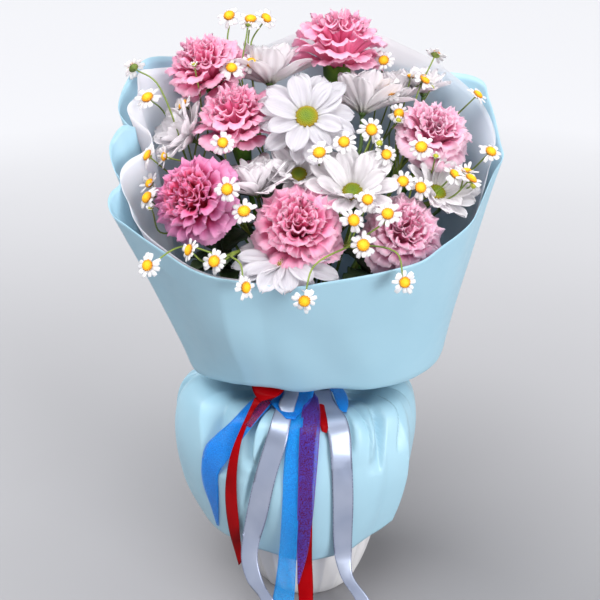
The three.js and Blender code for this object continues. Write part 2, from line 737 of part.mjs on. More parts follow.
addPiece('paper_skirt', FINISH.paper, makeSkirt);
addPiece('ribbon_band', FINISH.redRibbon, makeBand);
addPiece('ribbon_knot', FINISH.redRibbon, makeKnot);
for (const [name, tail] of Object.entries(TAILS)) {
  addPiece(name, tail.finish, (grow) => makeTail(tail, grow));
}
for (const [name, loop] of Object.entries(LOOPS)) {
  addPiece(name, loop.finish, (grow) => makeLoop(loop, grow));
}
DAISY_SPRAYS.flatMap(({ heads }) => heads).forEach((head, i) => {
  addPiece(`daisy_head_${i + 1}`, FINISH.daisy, (grow) => makeDaisyHead(head, grow));
});
CARNATIONS.forEach((flower, i) => {
  const material = flower.strong ? FINISH.carnation : FINISH.paleCarnation;
  addPiece(`carnation_bloom_${i + 1}`, material, (grow) => makeBloom(flower, grow));
});

export default bunch;
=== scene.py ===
# A hand-tied bunch of pink carnations, white daisy chrysanthemums and chamomile, wrapped in blue
# paper over a film liner, tied with ribbons and standing in a fluted white vase. Metres, +Z up.
# Driving sizes are written in millimetres and go through mm().
import math
import random

import bmesh
import bpy
from mathutils import Matrix, Vector, noise
from mathutils.bvhtree import BVHTree
from mathutils.geometry import interpolate_bezier


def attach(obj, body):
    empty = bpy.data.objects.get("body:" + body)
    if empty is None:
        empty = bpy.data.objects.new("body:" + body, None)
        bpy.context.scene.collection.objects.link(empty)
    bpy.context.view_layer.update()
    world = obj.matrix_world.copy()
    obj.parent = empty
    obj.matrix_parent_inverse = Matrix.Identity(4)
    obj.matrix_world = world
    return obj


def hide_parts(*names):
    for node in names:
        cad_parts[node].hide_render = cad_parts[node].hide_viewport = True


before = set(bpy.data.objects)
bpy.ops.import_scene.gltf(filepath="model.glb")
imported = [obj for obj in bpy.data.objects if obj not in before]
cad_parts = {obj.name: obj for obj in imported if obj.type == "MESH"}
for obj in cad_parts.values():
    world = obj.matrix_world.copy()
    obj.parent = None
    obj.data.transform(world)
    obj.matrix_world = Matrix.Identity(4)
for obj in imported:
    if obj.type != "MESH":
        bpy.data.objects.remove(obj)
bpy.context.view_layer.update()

# ---------------------------------------------------------------- camera, floor and light
# The bunch is seen from the front and a little above, on a pale floor painted darker near it and
# lighter away from it: painted shade round the bunch. Broad soft lights stand low at the front
# right, high on the left and overhead in front, and a sky that is brighter overhead lights the
# rest.
SCENE = bpy.context.scene
FLOOR_RADIUS = 60.0


def mm(*values):
    """A place or size given in millimetres."""
    if len(values) == 1:
        return values[0] * 0.001
    return Vector(values) * 0.001


def colour(red, green, blue):
    """A colour as a screen shows it, from 0 to 255, as the shaders want it."""
    shares = [value / 255 for value in (red, green, blue)]
    linear = [s / 12.92 if s < 0.04045 else ((s + 0.055) / 1.055) ** 2.4 for s in shares]
    return (*linear, 1)


class Amount:
    """A number or colour that varies over a surface. Arithmetic on numbers adds Math nodes."""

    def __init__(self, finish, socket):
        self.finish = finish
        self.socket = socket

    def math(self, operation, first, second):
        return self.finish.node("ShaderNodeMath", {"operation": operation}, {0: first, 1: second})

    def __add__(self, other):
        return self.math("ADD", self, other)

    def __sub__(self, other):
        return self.math("SUBTRACT", self, other)

    def __rsub__(self, other):
        return self.math("SUBTRACT", other, self)

    def __mul__(self, other):
        return self.math("MULTIPLY", self, other)

    def __gt__(self, other):
        return self.math("GREATER_THAN", self, other)

    __radd__ = __add__
    __rmul__ = __mul__


class Finish:
    """A material being made, node by node."""

    def __init__(self, name):
        self.material = bpy.data.materials.new(name)
        self.material.use_nodes = True
        self.tree = self.material.node_tree
        self.tree.nodes.clear()

    def node(self, kind, settings=None, inputs=None, output=0):
        """Adds a node, sets it, feeds it and gives one of its outputs."""
        made = self.tree.nodes.new(kind)
        for name, value in (settings or {}).items():
            if name == "stops":
                ramp = made.color_ramp.elements
                while len(ramp) < len(value):
                    ramp.new(0.5)
                for element, (position, shade) in zip(ramp, value):
                    element.position = position
                    element.color = shade
            else:
                setattr(made, name, value)
        for key, value in (inputs or {}).items():
            if isinstance(value, Amount):
                self.tree.links.new(value.socket, made.inputs[key])
            else:
                made.inputs[key].default_value = value
        return Amount(self, made.outputs[output])

    def place(self):
        return self.node("ShaderNodeTexCoord", output="Object")

    def on_sheet(self):
        """Where a point of a sheet lies: its shares across and along."""
        return self.node("ShaderNodeUVMap", {"uv_map": "share"})

    def axis(self, where, number):
        return self.node("ShaderNodeSeparateXYZ", {}, {0: where}, number)

    def tone(self):
        """The tone that the points of a mesh carry, from 0 to 1."""
        return self.node("ShaderNodeAttribute", {"attribute_name": "tone"}, output="Fac")

    def stretched(self, where, scale):
        return self.node("ShaderNodeMapping", inputs={"Vector": where, "Scale": scale})

    def noise(self, scale, detail=2.0, where=None):
        where = where or self.place()
        inputs = {"Vector": where, "Scale": scale, "Detail": detail}
        return self.node("ShaderNodeTexNoise", {}, inputs)

    def ramp(self, amount, stops):
        return self.node("ShaderNodeValToRGB", {"stops": stops}, {0: amount})

    def between(self, amount, low, high):
        """The amount, stretched so that low gives 0 and high gives 1."""
        return self.node("ShaderNodeMapRange", {}, {0: amount, 1: low, 2: high})

    def mix(self, amount, first, second):
        inputs = {0: amount, 6: first, 7: second}
        return self.node("ShaderNodeMix", {"data_type": "RGBA"}, inputs, 2)

    def bump(self, height, strength, distance):
        inputs = {"Height": height, "Strength": strength, "Distance": distance}
        return self.node("ShaderNodeBump", {}, inputs)

    def surface(self, glow=0.0, glow_colour=None, **sockets):
        """The shader itself. Glow is the share of light that comes through from behind."""
        named = {name.replace("_", " "): value for name, value in sockets.items()}
        shader = self.node("ShaderNodeBsdfPrincipled", {}, named)
        if glow:
            through = self.node("ShaderNodeBsdfTranslucent", {}, {"Color": glow_colour})
            shader = self.node("ShaderNodeMixShader", {}, {0: glow, 1: shader, 2: through})
        made = self.tree.nodes.new("ShaderNodeOutputMaterial")
        self.tree.links.new(shader.socket, made.inputs["Surface"])
        return self


def floor_finish():
    finish = Finish("pale_floor")
    cloud = finish.noise(1.5, 3.0)
    away = finish.node("ShaderNodeVectorMath", {"operation": "LENGTH"}, {0: finish.place()}, 1)
    # Painted shade: the floor is darker near the bunch than away from it, which also dims the light
    # it throws back up onto the bunch.
    near, far = colour(142, 141, 144), colour(196, 196, 199)
    shade = finish.mix(finish.between(away + cloud * 0.3, 0.2, 1.6), near, far)
    return finish.surface(Base_Color=shade, Roughness=0.55)


def make_floor():
    mesh = bmesh.new()
    bmesh.ops.create_circle(mesh, segments=64, radius=FLOOR_RADIUS, cap_ends=True)
    data = bpy.data.meshes.new("floor")
    mesh.to_mesh(data)
    mesh.free()
    data.materials.append(floor_finish().material)
    floor = bpy.data.objects.new("floor", data)
    SCENE.collection.objects.link(floor)


CAMERA_PLACE = mm(-6, -891, 680)
CAMERA_LOOKS_DOWN = 24.9  # degrees
CAMERA_LENS = 72


def make_camera():
    data = bpy.data.cameras.new("camera")
    data.lens = CAMERA_LENS
    camera = bpy.data.objects.new("camera", data)
    camera.location = CAMERA_PLACE
    camera.rotation_euler = (math.radians(90 - CAMERA_LOOKS_DOWN), 0, 0)
    SCENE.collection.objects.link(camera)
    SCENE.camera = camera


LIGHTS = [  # name, the way to it from the bunch, how broad it looks in degrees, strength
    ("side_light", (1.25, -1.4, 0.4), 30, 2.6),
    ("rim_light", (-0.9, 0.2, 1.1), 36, 1.7),
    ("top_light", (-0.3, -0.75, 1.9), 36, 2.1),
]


def make_light(name, toward, spread_angle, strength):
    """A broad even light from far away, that stands toward a place seen from the bunch."""
    data = bpy.data.lights.new(name, "SUN")
    data.angle = math.radians(spread_angle)
    data.energy = strength
    light = bpy.data.objects.new(name, data)
    light.location = toward
    light.rotation_euler = Vector(toward).to_track_quat("Z", "Y").to_euler()
    SCENE.collection.objects.link(light)


SKY = {"From Min": 0.25, "From Max": 0.9, "To Min": 0.1, "To Max": 0.9}  # height, brightness
SKY_TINT = (0.95, 0.97, 1, 1)


def make_sky():
    """Light from all round, dim near the horizon and bright overhead."""
    world = bpy.data.worlds.new("studio")
    world.use_nodes = True
    tree = world.node_tree
    where = tree.nodes.new("ShaderNodeTexCoord")
    parts = tree.nodes.new("ShaderNodeSeparateXYZ")
    rise = tree.nodes.new("ShaderNodeMapRange")
    for socket, value in SKY.items():
        rise.inputs[socket].default_value = value
    background = tree.nodes["Background"]
    background.inputs["Color"].default_value = SKY_TINT
    tree.links.new(where.outputs["Generated"], parts.inputs[0])
    tree.links.new(parts.outputs["Z"], rise.inputs["Value"])
    tree.links.new(rise.outputs["Result"], background.inputs["Strength"])
    SCENE.world = world


make_camera()
make_floor()
make_sky()
for light in LIGHTS:
    make_light(*light)
SCENE.view_settings.view_transform = "Standard"

# ---------------------------------------------------------------- vase
# One piece of white glazed porcelain with upright flutes that widen from the foot to the rim.
# It stands on its foot, and the stems stand in it.
TAU = 2 * math.pi
VASE_FOOT = mm(42)
VASE_RIM = mm(68)
VASE_HEIGHT = mm(118)
VASE_WALL = mm(5.4)
VASE_FLOOR = mm(6)
FLUTES = 24
FLUTE_DEPTH = mm(1.9)
STEPS_PER_FLUTE = 10


def turned(profile, steps):
    """A round solid: a profile of radii and heights, from axis to axis, spun once round."""
    mesh = bmesh.new()
    points = [mesh.verts.new((radius, 0, height)) for radius, height in profile]
    edges = [mesh.edges.new(pair) for pair in zip(points, points[1:])]
    bmesh.ops.spin(
        mesh, geom=points + edges, cent=(0, 0, 0), axis=(0, 0, 1), angle=TAU, steps=steps,
        use_merge=True)
    bmesh.ops.remove_doubles(mesh, verts=mesh.verts[:], dist=1e-7)
    bmesh.ops.recalc_face_normals(mesh, faces=mesh.faces[:])
    return mesh


def piece(mesh, name, finishes, slot, replaces):
    """A finished mesh as a named piece of the bunch."""
    data = bpy.data.meshes.new(name)
    mesh.to_mesh(data)
    mesh.free()
    data.shade_smooth()
    for finish in finishes:
        data.materials.append(finish.material)
    made = bpy.data.objects.new(name, data)
    SCENE.collection.objects.link(made)
    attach(made, "root")
    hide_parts(*replaces)
    return made


def vase_radius(height):
    rise = min(height / VASE_HEIGHT, 1)
    return VASE_FOOT + (VASE_RIM - VASE_FOOT) * math.sin(rise * math.pi / 2) ** 0.75


def vase_profile():
    foot = [(0, mm(1)), (mm(36), mm(1)), (mm(37), 0), (mm(40.6), 0), (VASE_FOOT, mm(1.6))]
    heights = [VASE_HEIGHT * step / 20 for step in range(1, 20)]
    outside = [(vase_radius(height), height) for height in heights]
    rim = [(VASE_RIM, VASE_HEIGHT - mm(1.5)), (VASE_RIM - mm(1.3), VASE_HEIGHT)]
    lip = [(VASE_RIM - VASE_WALL + mm(1.3), VASE_HEIGHT)]
    inside = [(vase_radius(height) - VASE_WALL, height) for height in reversed(heights[2:])]
    well = [(vase_radius(VASE_FLOOR) - VASE_WALL - mm(2), VASE_FLOOR), (0, VASE_FLOOR)]
    return foot + outside + rim + lip + inside + well


def vase_finish():
    finish = Finish("white_glaze")
    cloud = finish.noise(35.0)
    # The glaze is painted a little grey, mottled at random: painted shade for the skirt's shadow
    # over the vase.
    shade = finish.mix(cloud, colour(206, 204, 206), colour(226, 225, 226))
    speckle = finish.noise(900.0, 1.0)
    return finish.surface(
        Base_Color=shade, Roughness=finish.between(cloud, -1.5, 3.5), Coat_Weight=0.4,
        Coat_Roughness=0.08, Normal=finish.bump(speckle, 0.08, 0.0002))


def make_vase():
    mesh = turned(vase_profile(), FLUTES * STEPS_PER_FLUTE)
    for vertex in mesh.verts:
        x, y, height = vertex.co
        radius = math.hypot(x, y)
        outside = radius > vase_radius(height) - VASE_WALL * 0.5
        if outside and mm(1) < height < VASE_HEIGHT - mm(1):
            wave = abs(math.sin(math.atan2(y, x) * FLUTES / 2))
            fade = min(1, height / mm(6))
            share = 1 - FLUTE_DEPTH * wave * fade / radius
            vertex.co = (x * share, y * share, height)
    piece(mesh, "vase_fluted", [vase_finish()], "vase_glaze", ["vase"])


make_vase()

# ---------------------------------------------------------------- where the flowers are
# The heads of the bunch: the place of each one, the way it looks and its radius. The carnations
# and the chrysanthemums stand highest at the back, and the chamomile threads between them.
CHAMOMILE_BRANCHES = mm(340)  # the height where each spray of chamomile branches
LEAF_TOPS = [mm(-58, -42, 312), mm(48, -48, 300), mm(30, 30, 340), mm(-24, 32, 340)]


def head_at(place, looks, **more):
    """A flower head: its place in millimetres, the way it looks, and what else is its own."""
    return {"at": mm(*place), "looks": looks, **more}


CARNATIONS = [
    head_at((-81, 45, 450), (-0.35, -0.25, 0.9), radius=mm(31)),
    head_at((25, 60, 455), (0.08, 0.2, 1), radius=mm(33), full=1.15, raised=mm(9)),
    head_at((-55, 0, 421), (-0.15, -0.05, 1), radius=mm(32)),
    head_at((97, 0, 409), (0.25, -0.45, 0.86), radius=mm(30)),
    head_at((-84, -55, 375), (-0.45, -0.65, 0.6), radius=mm(33)),
    head_at((-7, -75, 361), (0, -0.6, 0.8), radius=mm(32)),
    head_at((71, -60, 350), (0.3, -0.6, 0.74), radius=mm(31)),
]
DAISY_SPRAYS = [  # an open flower shows its eye, a cup stands up round it
    {"branches": mm(318), "heads": [
        head_at((-1, -20, 426), (0, -0.75, 0.66), radius=mm(36), form="open"),
        head_at((-30, 45, 435), (-0.05, 0.45, 0.9), radius=mm(34), form="cup"),
        head_at((43, 25, 417), (0.12, 0.4, 0.9), radius=mm(36), form="cup"),
    ]},
    {"branches": mm(318), "heads": [
        head_at((-91, 16, 398), (-0.75, -0.22, 0.62), radius=mm(31), form="cup"),
        head_at((-38, -38, 372), (-0.15, 0.1, 1), radius=mm(32), form="cup"),
    ]},
    {"branches": mm(292), "heads": [
        head_at((-7, -28, 383), (0, -0.6, 0.8), radius=mm(28), form="half"),
        head_at((33, -47, 376), (0, -0.5, 0.86), radius=mm(35), form="half"),
        head_at((-16, -85, 337), (0, -0.3, 0.95), radius=mm(37), form="open",
                past=mm(-27, -64, 316)),
    ]},
    {"branches": mm(318), "heads": [
        head_at((73, 46, 421), (-0.05, 0.25, 0.95), radius=mm(28), form="cup"),
        head_at((92, 44, 428), (0.05, 0.1, 1), radius=mm(22), form="cup"),
    ]},
    {"branches": mm(318), "heads": [
        head_at((98, -26, 368), (0.35, -0.5, 0.8), radius=mm(31), form="half"),
        head_at((109, -2, 364), (0.25, -0.2, 0.95), radius=mm(20), form="cup"),
    ]},
]
OUT_LEFT = (-0.6, -0.4, 0.7)
OUT_RIGHT = (0.55, -0.4, 0.75)
OUT_FRONT = (0, -0.8, 0.6)
CHAMOMILE_SPRAYS = [
    [
        head_at((-137, 40, 449), (-0.6, 0.8, 0.2)),
        head_at((-123, 10, 433), (-0.3, -0.7, 0.6)),
        head_at((-97, 22, 424), OUT_LEFT), head_at((-121, -22, 397), OUT_LEFT),
    ],
    [
        head_at((-62, 66, 484), (-0.35, -0.55, 0.75), past=mm(-63, 58, 462)),
        head_at((-45, 62, 482), (0.1, -0.6, 0.8), past=mm(-47, 56, 462)),
        head_at((-33, 66, 482), (0.5, -0.5, 0.7), past=mm(-45, 56, 462)),
        head_at((-44, 38, 453), (0, -0.7, 0.7)),
        head_at((-59, 26, 452), (0.1, -0.7, 0.7)),
    ],
    [
        head_at((-63, -38, 412), OUT_FRONT), head_at((-120, -46, 372), OUT_LEFT),
        head_at((-58, -78, 390), OUT_FRONT), head_at((-46, -86, 376), OUT_FRONT),
    ],
    [
        head_at((-85, -100, 352), OUT_LEFT), head_at((-67, -104, 345), OUT_FRONT),
        head_at((-113, -116, 347), (-0.4, -0.8, 0.4), past=mm(-90, -88, 350)),
        head_at((-44, -129, 336), (0.6, -0.7, 0.3), past=mm(-48, -108, 344)),
    ],
    [
        head_at((8, -62, 412), OUT_FRONT), head_at((26, -52, 417), OUT_FRONT),
        head_at((47, -28, 419), OUT_FRONT), head_at((58, -38, 403), OUT_FRONT),
    ],
    [
        head_at((39, -101, 356), OUT_FRONT), head_at((32, -93, 372), OUT_FRONT),
        head_at((42, -86, 385), OUT_FRONT), head_at((56, -96, 378), OUT_FRONT),
        head_at((-3, -134, 328), (0, -0.95, -0.1), past=mm(4, -112, 345)),
        head_at((68, -116, 334), (0.2, -0.95, 0.1), past=mm(62, -98, 350)),
    ],
    [
        head_at((70, -50, 386), OUT_FRONT), head_at((83, -52, 382), OUT_FRONT),
        head_at((84, -36, 408), OUT_FRONT), head_at((109, -40, 388), OUT_RIGHT),
        head_at((121, -44, 386), OUT_RIGHT), head_at((138, -22, 400), OUT_RIGHT),
    ],
    [
        head_at((101, 50, 457), (0.4, 0.6, 0.7)), head_at((91, 30, 442), OUT_RIGHT),
        head_at((132, 22, 432), OUT_RIGHT), head_at((70, 4, 422), OUT_FRONT),
    ],
    [
        head_at((60, 46, 453), OUT_FRONT), head_at((64, 20, 436), OUT_FRONT),
    ],
]
CHAMOMILE_EXTRAS = [  # spray that it grows from, place, way it looks, kind
    (0, (-100, 28, 418), (-0.2, 0.3, 0.9), "side"),
    (0, (-109, -18, 395), (-0.8, -0.3, 0.4), "side"),
    (0, (-87, 20, 456), (-0.1, -0.1, 1), "bud"),
    (2, (-120, -28, 377), (-0.5, -0.5, 0.7), "side"),
    (2, (-118, -33, 369), (-0.6, -0.6, 0.5), "side"),
    (2, (-117, -52, 366), (-0.3, -0.3, 0.9), "bud"),
    (7, (97, 32, 435), (0.3, -0.4, 0.8), "bud"),
    (7, (69, -4, 419), (0.2, -0.7, 0.7), "bud"),
    (8, (65, 25, 430), (0, -0.4, 0.9), "bud"),
    (8, (81, 35, 443), (0.2, -0.2, 0.9), "side"),
    (6, (95, -36, 401), (0.1, -0.5, 0.8), "bud"),
    (6, (124, -36, 378), (0.5, -0.6, 0.5), "bud"),
    (6, (119, -32, 388), (0.3, -0.2, 0.9), "side"),
    (4, (53, -36, 411), (0, -0.4, 0.9), "bud"),
    (1, (-47, 56, 479), (0.1, 0.5, 0.9), "bud"),
]

# ---------------------------------------------------------------- stems
# Green stems from the vase's floor through the tie and out to the flowers. The carnations' are
# round with a calyx at the end, and the daisies' and the chamomile's branch into thin twigs.
NECK_LOW = mm(192)
NECK_HIGH = mm(205)
CALYX_LENGTH = mm(24)
TIE_RINGS = [(0, 1), (mm(6.2), 7), (mm(12.6), 17)]  # radius, how many stems stand in it
SPRAY_OUT = 0.62  # how far out towards its heads the main stem of a spray ends
FOOT_SPREAD = 2.2  # how much wider the stems stand in the vase than in the tie
CARNATION_STEM = mm(2.1)
DAISY_STEM = mm(1.9)
DAISY_TWIG = (mm(1.7), mm(1.4))
DAISY_SEAT = mm(3)
WIDE_CALYX = 1.35


def curve_through(points, steps, closed=False):
    """A smooth line through points, with so many short steps between each one and the next."""
    count = len(points)
    ways = []
    for i, point in enumerate(points):
        before = points[i - 1] if closed or i else point
        after = points[(i + 1) % count] if closed or i + 1 < count else point
        ways.append((after - before).normalized())
    line = []
    for i in range(count if closed else count - 1):
        here = points[i]
        there = points[(i + 1) % count]
        reach = (there - here).length / 3
        out_of = here + ways[i] * reach
        into = there - ways[(i + 1) % count] * reach
        line += interpolate_bezier(here, out_of, into, there, steps + 1)[:-1]
    if not closed:
        line.append(points[-1])
    return line


def rods(lines):
    """Round rods as one mesh. Each is a list of places, each place with the radius there."""
    curve = bpy.data.curves.new("rods", "CURVE")
    curve.dimensions = "3D"
    curve.bevel_depth = 1
    curve.bevel_resolution = 2
    curve.use_fill_caps = True
    for line in lines:
        spline = curve.splines.new("POLY")
        spline.points.add(len(line) - 1)
        for point, (place, radius) in zip(spline.points, line):
            point.co = (*place, 1)
            point.radius = radius
    holder = bpy.data.objects.new("rods", curve)
    mesh = bmesh.new()
    mesh.from_mesh(bpy.data.meshes.new_from_object(holder))
    bpy.data.objects.remove(holder)
    bmesh.ops.remove_doubles(mesh, verts=mesh.verts[:], dist=1e-6)
    return mesh


def gather(mesh, part, place=Matrix.Identity(4), finish=None, tone=None):
    """Adds a copy of a part, a mesh data block, to a mesh at a place."""
    copy = part.copy()
    copy.transform(place)
    if finish is not None:
        copy.polygons.foreach_set("material_index", [finish] * len(copy.polygons))
    if tone is not None:
        shade = copy.attributes.get("tone") or copy.attributes.new("tone", "FLOAT", "POINT")
        shade.data.foreach_set("value", [tone] * len(copy.vertices))
    mesh.from_mesh(copy)
    bpy.data.meshes.remove(copy)


def as_part(mesh):
    """A mesh as a data block that gather can copy."""
    data = bpy.data.meshes.new("part")
    mesh.to_mesh(data)
    mesh.free()
    return data


def seated(at, looks, turn=0.0):
    """The place of a head that is made looking up its own z axis."""
    lean = Vector((0, 0, 1)).rotation_difference(Vector(looks)).to_matrix().to_4x4()
    return Matrix.Translation(at) @ lean @ Matrix.Rotation(turn, 4, "Z")


def spray_stem(heads, height):
    """The main stem of a spray ends where its twigs branch off, and leans to their middle."""
    middle = sum((head["at"] for head in heads), Vector()) / len(heads)
    top = Vector((middle.x * SPRAY_OUT, middle.y * SPRAY_OUT, height))
    return {"top": top, "lean": (middle - top).normalized()}


def carnation_stem(flower):
    looks = Vector(flower["looks"]).normalized()
    top = flower["at"] - looks * (0.6 * flower["radius"] + CALYX_LENGTH)
    return {"top": top, "lean": looks}


def leaf_stem(top):
    return {"top": top, "lean": Vector((top.x, top.y, mm(160))).normalized()}


def azimuth(stem):
    return math.atan2(stem["top"].y, stem["top"].x)


def polar(radius, angle, height=0):
    """The place at a radius and an angle round the z axis."""
    return Vector((radius * math.cos(angle), radius * math.sin(angle), height))


def place_in_tie(stems):
    """At the tie the stems stand in rings, the ones that end nearest the middle innermost."""
    waiting = sorted(stems, key=lambda stem: stem["top"].xy.length)
    for radius, places in TIE_RINGS:
        ring = sorted(waiting[:places], key=azimuth)
        waiting = waiting[places:]
        step = TAU / len(ring)
        drift = sum(azimuth(stem) + math.pi - i * step for i, stem in enumerate(ring)) / len(ring)
        for i, stem in enumerate(ring):
            angle = i * step + drift - math.pi
            stem["tie"] = polar(radius, angle)


def stem_line(stem, radius):
    foot = stem["tie"] * FOOT_SPREAD + Vector((0, 0, VASE_FLOOR + mm(0.35)))
    low = stem["tie"] + Vector((0, 0, NECK_LOW - mm(6)))
    high = stem["tie"] + Vector((0, 0, NECK_HIGH + mm(4)))
    top = stem["top"]
    reach = (top - high).length * 0.4
    lower = interpolate_bezier(foot, foot.lerp(low, 0.35), low - mm(0, 0, 40), low, 10)
    above = high + Vector((0, 0, reach * 0.6))
    upper = interpolate_bezier(high, above, top - stem["lean"] * reach, top, 20)
    return [(place, radius) for place in lower + upper]


def twig_line(stem, head, radii, seat):
    """A twig from the end of the main stem to the underside of a head."""
    looks = Vector(head["looks"]).normalized()
    end = head["at"] - looks * seat
    start = stem["top"] - stem["lean"] * mm(2)
    reach = (end - start).length * 0.3
    bend = head.get("past") or end - looks * reach
    line = curve_through([start, start + stem["lean"] * reach, bend, end], 7)
    thick, thin = radii
    return [(place, thick + (thin - thick) * i / (len(line) - 1)) for i, place in enumerate(line)]


def stem_finish(name, dark, light):
    finish = Finish(name)
    cloud = finish.noise(60.0)
    streak = finish.noise(1.0, 3.0, finish.stretched(finish.place(), (900, 900, 60)))
    shade = finish.mix(finish.between(cloud, 0.35, 0.65), dark, light)
    return finish.surface(
        Base_Color=shade, Roughness=finish.between(streak, -1.2, 1.6),
        Normal=finish.bump(streak, 0.3, 0.0003))


CARNATION_GREEN = stem_finish("carnation_green", colour(58, 106, 18), colour(84, 134, 26))
CHAMOMILE_GREEN = stem_finish("chamomile_green", colour(94, 116, 42), colour(130, 148, 60))
DAISY_GREEN = stem_finish("daisy_green", colour(58, 84, 36), colour(84, 112, 48))

carnation_stems = [carnation_stem(flower) for flower in CARNATIONS]
daisy_stems = [spray_stem(spray["heads"], spray["branches"]) for spray in DAISY_SPRAYS]
chamomile_stems = [spray_stem(heads, CHAMOMILE_BRANCHES) for heads in CHAMOMILE_SPRAYS]
leaf_stems = [leaf_stem(top) for top in LEAF_TOPS]
place_in_tie(carnation_stems + daisy_stems + chamomile_stems + leaf_stems)


def make_calyx():
    """The green tube that holds the petals, wider upwards, with five points at its mouth."""
    profile = [
        (0, -3), (2.2, -2.6), (3.2, -1.5), (3.6, 0.5), (5.0, 3), (6.4, 9), (7.4, 16), (8.4, 23),
        (8.8, 26)]
    inner = [(8.0, 26), (7.2, 22), (0, 20)]
    mesh = turned([(mm(radius), mm(height)) for radius, height in profile + inner], steps=20)
    for vertex in mesh.verts:
        x, y, height = vertex.co
        if height > mm(22.5) and math.hypot(x, y) > mm(7.9):
            point = math.cos(math.atan2(y, x) * 5)
            vertex.co.z = height + mm(2.2) * point
    return as_part(mesh)


def make_carnation_stems():
    calyx = make_calyx()
    for i, (flower, stem) in enumerate(zip(CARNATIONS, carnation_stems)):
        mesh = rods([stem_line(stem, CARNATION_STEM)])
        full = WIDE_CALYX if "raised" in flower else 1
        gather(mesh, calyx, seated(stem["top"], flower["looks"]) @ Matrix.Scale(full, 4))
        piece(mesh, f"carnation_stalk_{i + 1}", [CARNATION_GREEN], "green_stem",
              [f"carnation_stem_{i + 1}"])


def make_daisy_stems():
    for i, (spray, stem) in enumerate(zip(DAISY_SPRAYS, daisy_stems)):
        twigs = [twig_line(stem, head, DAISY_TWIG, DAISY_SEAT) for head in spray["heads"]]
        mesh = rods([stem_line(stem, DAISY_STEM), *twigs])
        piece(mesh, f"daisy_stalk_{i + 1}", [DAISY_GREEN], "green_stem", [f"daisy_stem_{i + 1}"])


make_carnation_stems()
make_daisy_stems()

# ---------------------------------------------------------------- leaves
# Sprigs of dark broad leaves that fill the bunch below the flowers. Each has three blades at the
# end of a thin stem that runs down into the tie, and five more in a spiral above them. A blade is
# folded along its middle and has veins and a lobed edge.
LEAF_LENGTH = mm(38)
LEAF_WIDTH = mm(21)
LEAF_THICKNESS = mm(0.4)
LEAF_STEM = mm(1.4)
LOW_BLADES = (-0.9, 0, 0.9)  # turns from the way the sprig leans
HIGH_BLADES = 5
BLADE_GAP = 4  # millimetres
SPIRAL = math.radians(137.508)


def spread(columns, rows, place_at, thickness, joined=False):
    """A sheet laid out from a grid: place_at gives the place for each share across and along."""
    sheet = bmesh.new()
    bmesh.ops.create_grid(sheet, x_segments=columns, y_segments=rows, size=0.5)
    share = sheet.loops.layers.uv.new("share")
    for vertex in sheet.verts:
        across = vertex.co.x + 0.5
        along = vertex.co.y + 0.5
        for loop in vertex.link_loops:
            loop[share].uv = (across, along)
        vertex.co = place_at(across, along)
    if joined:
        bmesh.ops.remove_doubles(sheet, verts=sheet.verts[:], dist=1e-6)
    bmesh.ops.solidify(sheet, geom=sheet.faces[:], thickness=thickness)
    return sheet


def leaf_finish():
    finish = Finish("leaf_green")
    veins = finish.noise(1.0, 3.0, finish.stretched(finish.on_sheet(), (9, 26, 1)))
    cloud = finish.noise(45.0)
    shade = finish.mix(finish.between(veins, 0.3, 0.7), colour(24, 40, 20), colour(50, 72, 34))
    shade = finish.mix(cloud * 0.3, shade, colour(70, 92, 44))
    return finish.surface(
        Base_Color=shade, Roughness=finish.between(veins, -0.7, 1.8),
        Normal=finish.bump(veins, 0.5, 0.0006))


def make_blade(root, turn):
    out = polar(1, turn)
    side = Vector((-out.y, out.x, 0))

    def place_at(across, along):
        u = across * 2 - 1
        lobes = 1 + 0.14 * math.sin(along * 17)
        half = LEAF_WIDTH / 2 * math.sin(math.pi * along ** 0.8) ** 0.7 * lobes
        rise = LEAF_LENGTH * (0.7 * along - 0.55 * along * along)
        fold = abs(u) * half * 0.25
        ripple = mm(0.7) * math.sin(along * 22 + u * 3) * abs(u)
        place = root + out * (LEAF_LENGTH * along) + side * (u * half)
        return place + Vector((0, 0, rise + fold + ripple))

    return as_part(spread(10, 18, place_at, LEAF_THICKNESS))


def make_leaves():
    finish = leaf_finish()
    for i, stem in enumerate(leaf_stems):
        mesh = rods([stem_line(stem, LEAF_STEM)])
        root = stem["top"] - stem["lean"] * mm(1.5)
        for turn in LOW_BLADES:
            gather(mesh, make_blade(root, azimuth(stem) + turn), finish=1)
        for step in range(HIGH_BLADES):
            node = root + stem["lean"] * mm(BLADE_GAP * (step + 1))
            gather(mesh, make_blade(node, azimuth(stem) + step * SPIRAL), finish=1)
        piece(mesh, f"leafy_sprig_{i + 1}", [DAISY_GREEN, finish], "green_leaf",
              [f"leaf_sprig_{i + 1}"])


make_leaves()

# ---------------------------------------------------------------- twine
# Natural twine wound six times round the stems, which holds the bunch together. It lies inside
# the paper's neck and is drawn as one rod that climbs round the stems.
TWINE_RADIUS = mm(0.75)
TWINE_COIL = mm(16)
TWINE_TURNS = 6
STEPS_PER_TURN = 24


def make_twine():
    line = []
    steps = TWINE_TURNS * STEPS_PER_TURN
    for step in range(steps + 1):
        angle = TAU * step / STEPS_PER_TURN
        height = NECK_LOW + mm(2.8) + (NECK_HIGH - NECK_LOW - mm(7.6)) * step / steps
        radius = TWINE_COIL + mm(0.3) * math.sin(angle * 3)
        line.append((polar(radius, angle, height), TWINE_RADIUS))
    finish = Finish("twine")
    strands = finish.noise(1.0, 3.0, finish.stretched(finish.place(), (700, 700, 2500)))
    shade = finish.mix(strands, colour(120, 112, 76), colour(170, 158, 112))
    finish.surface(Base_Color=shade, Roughness=0.9, Normal=finish.bump(strands, 0.6, 0.0004))
    piece(rods([line]), "twine_tie", [finish], "twine", ["stem_tie"])


make_twine()

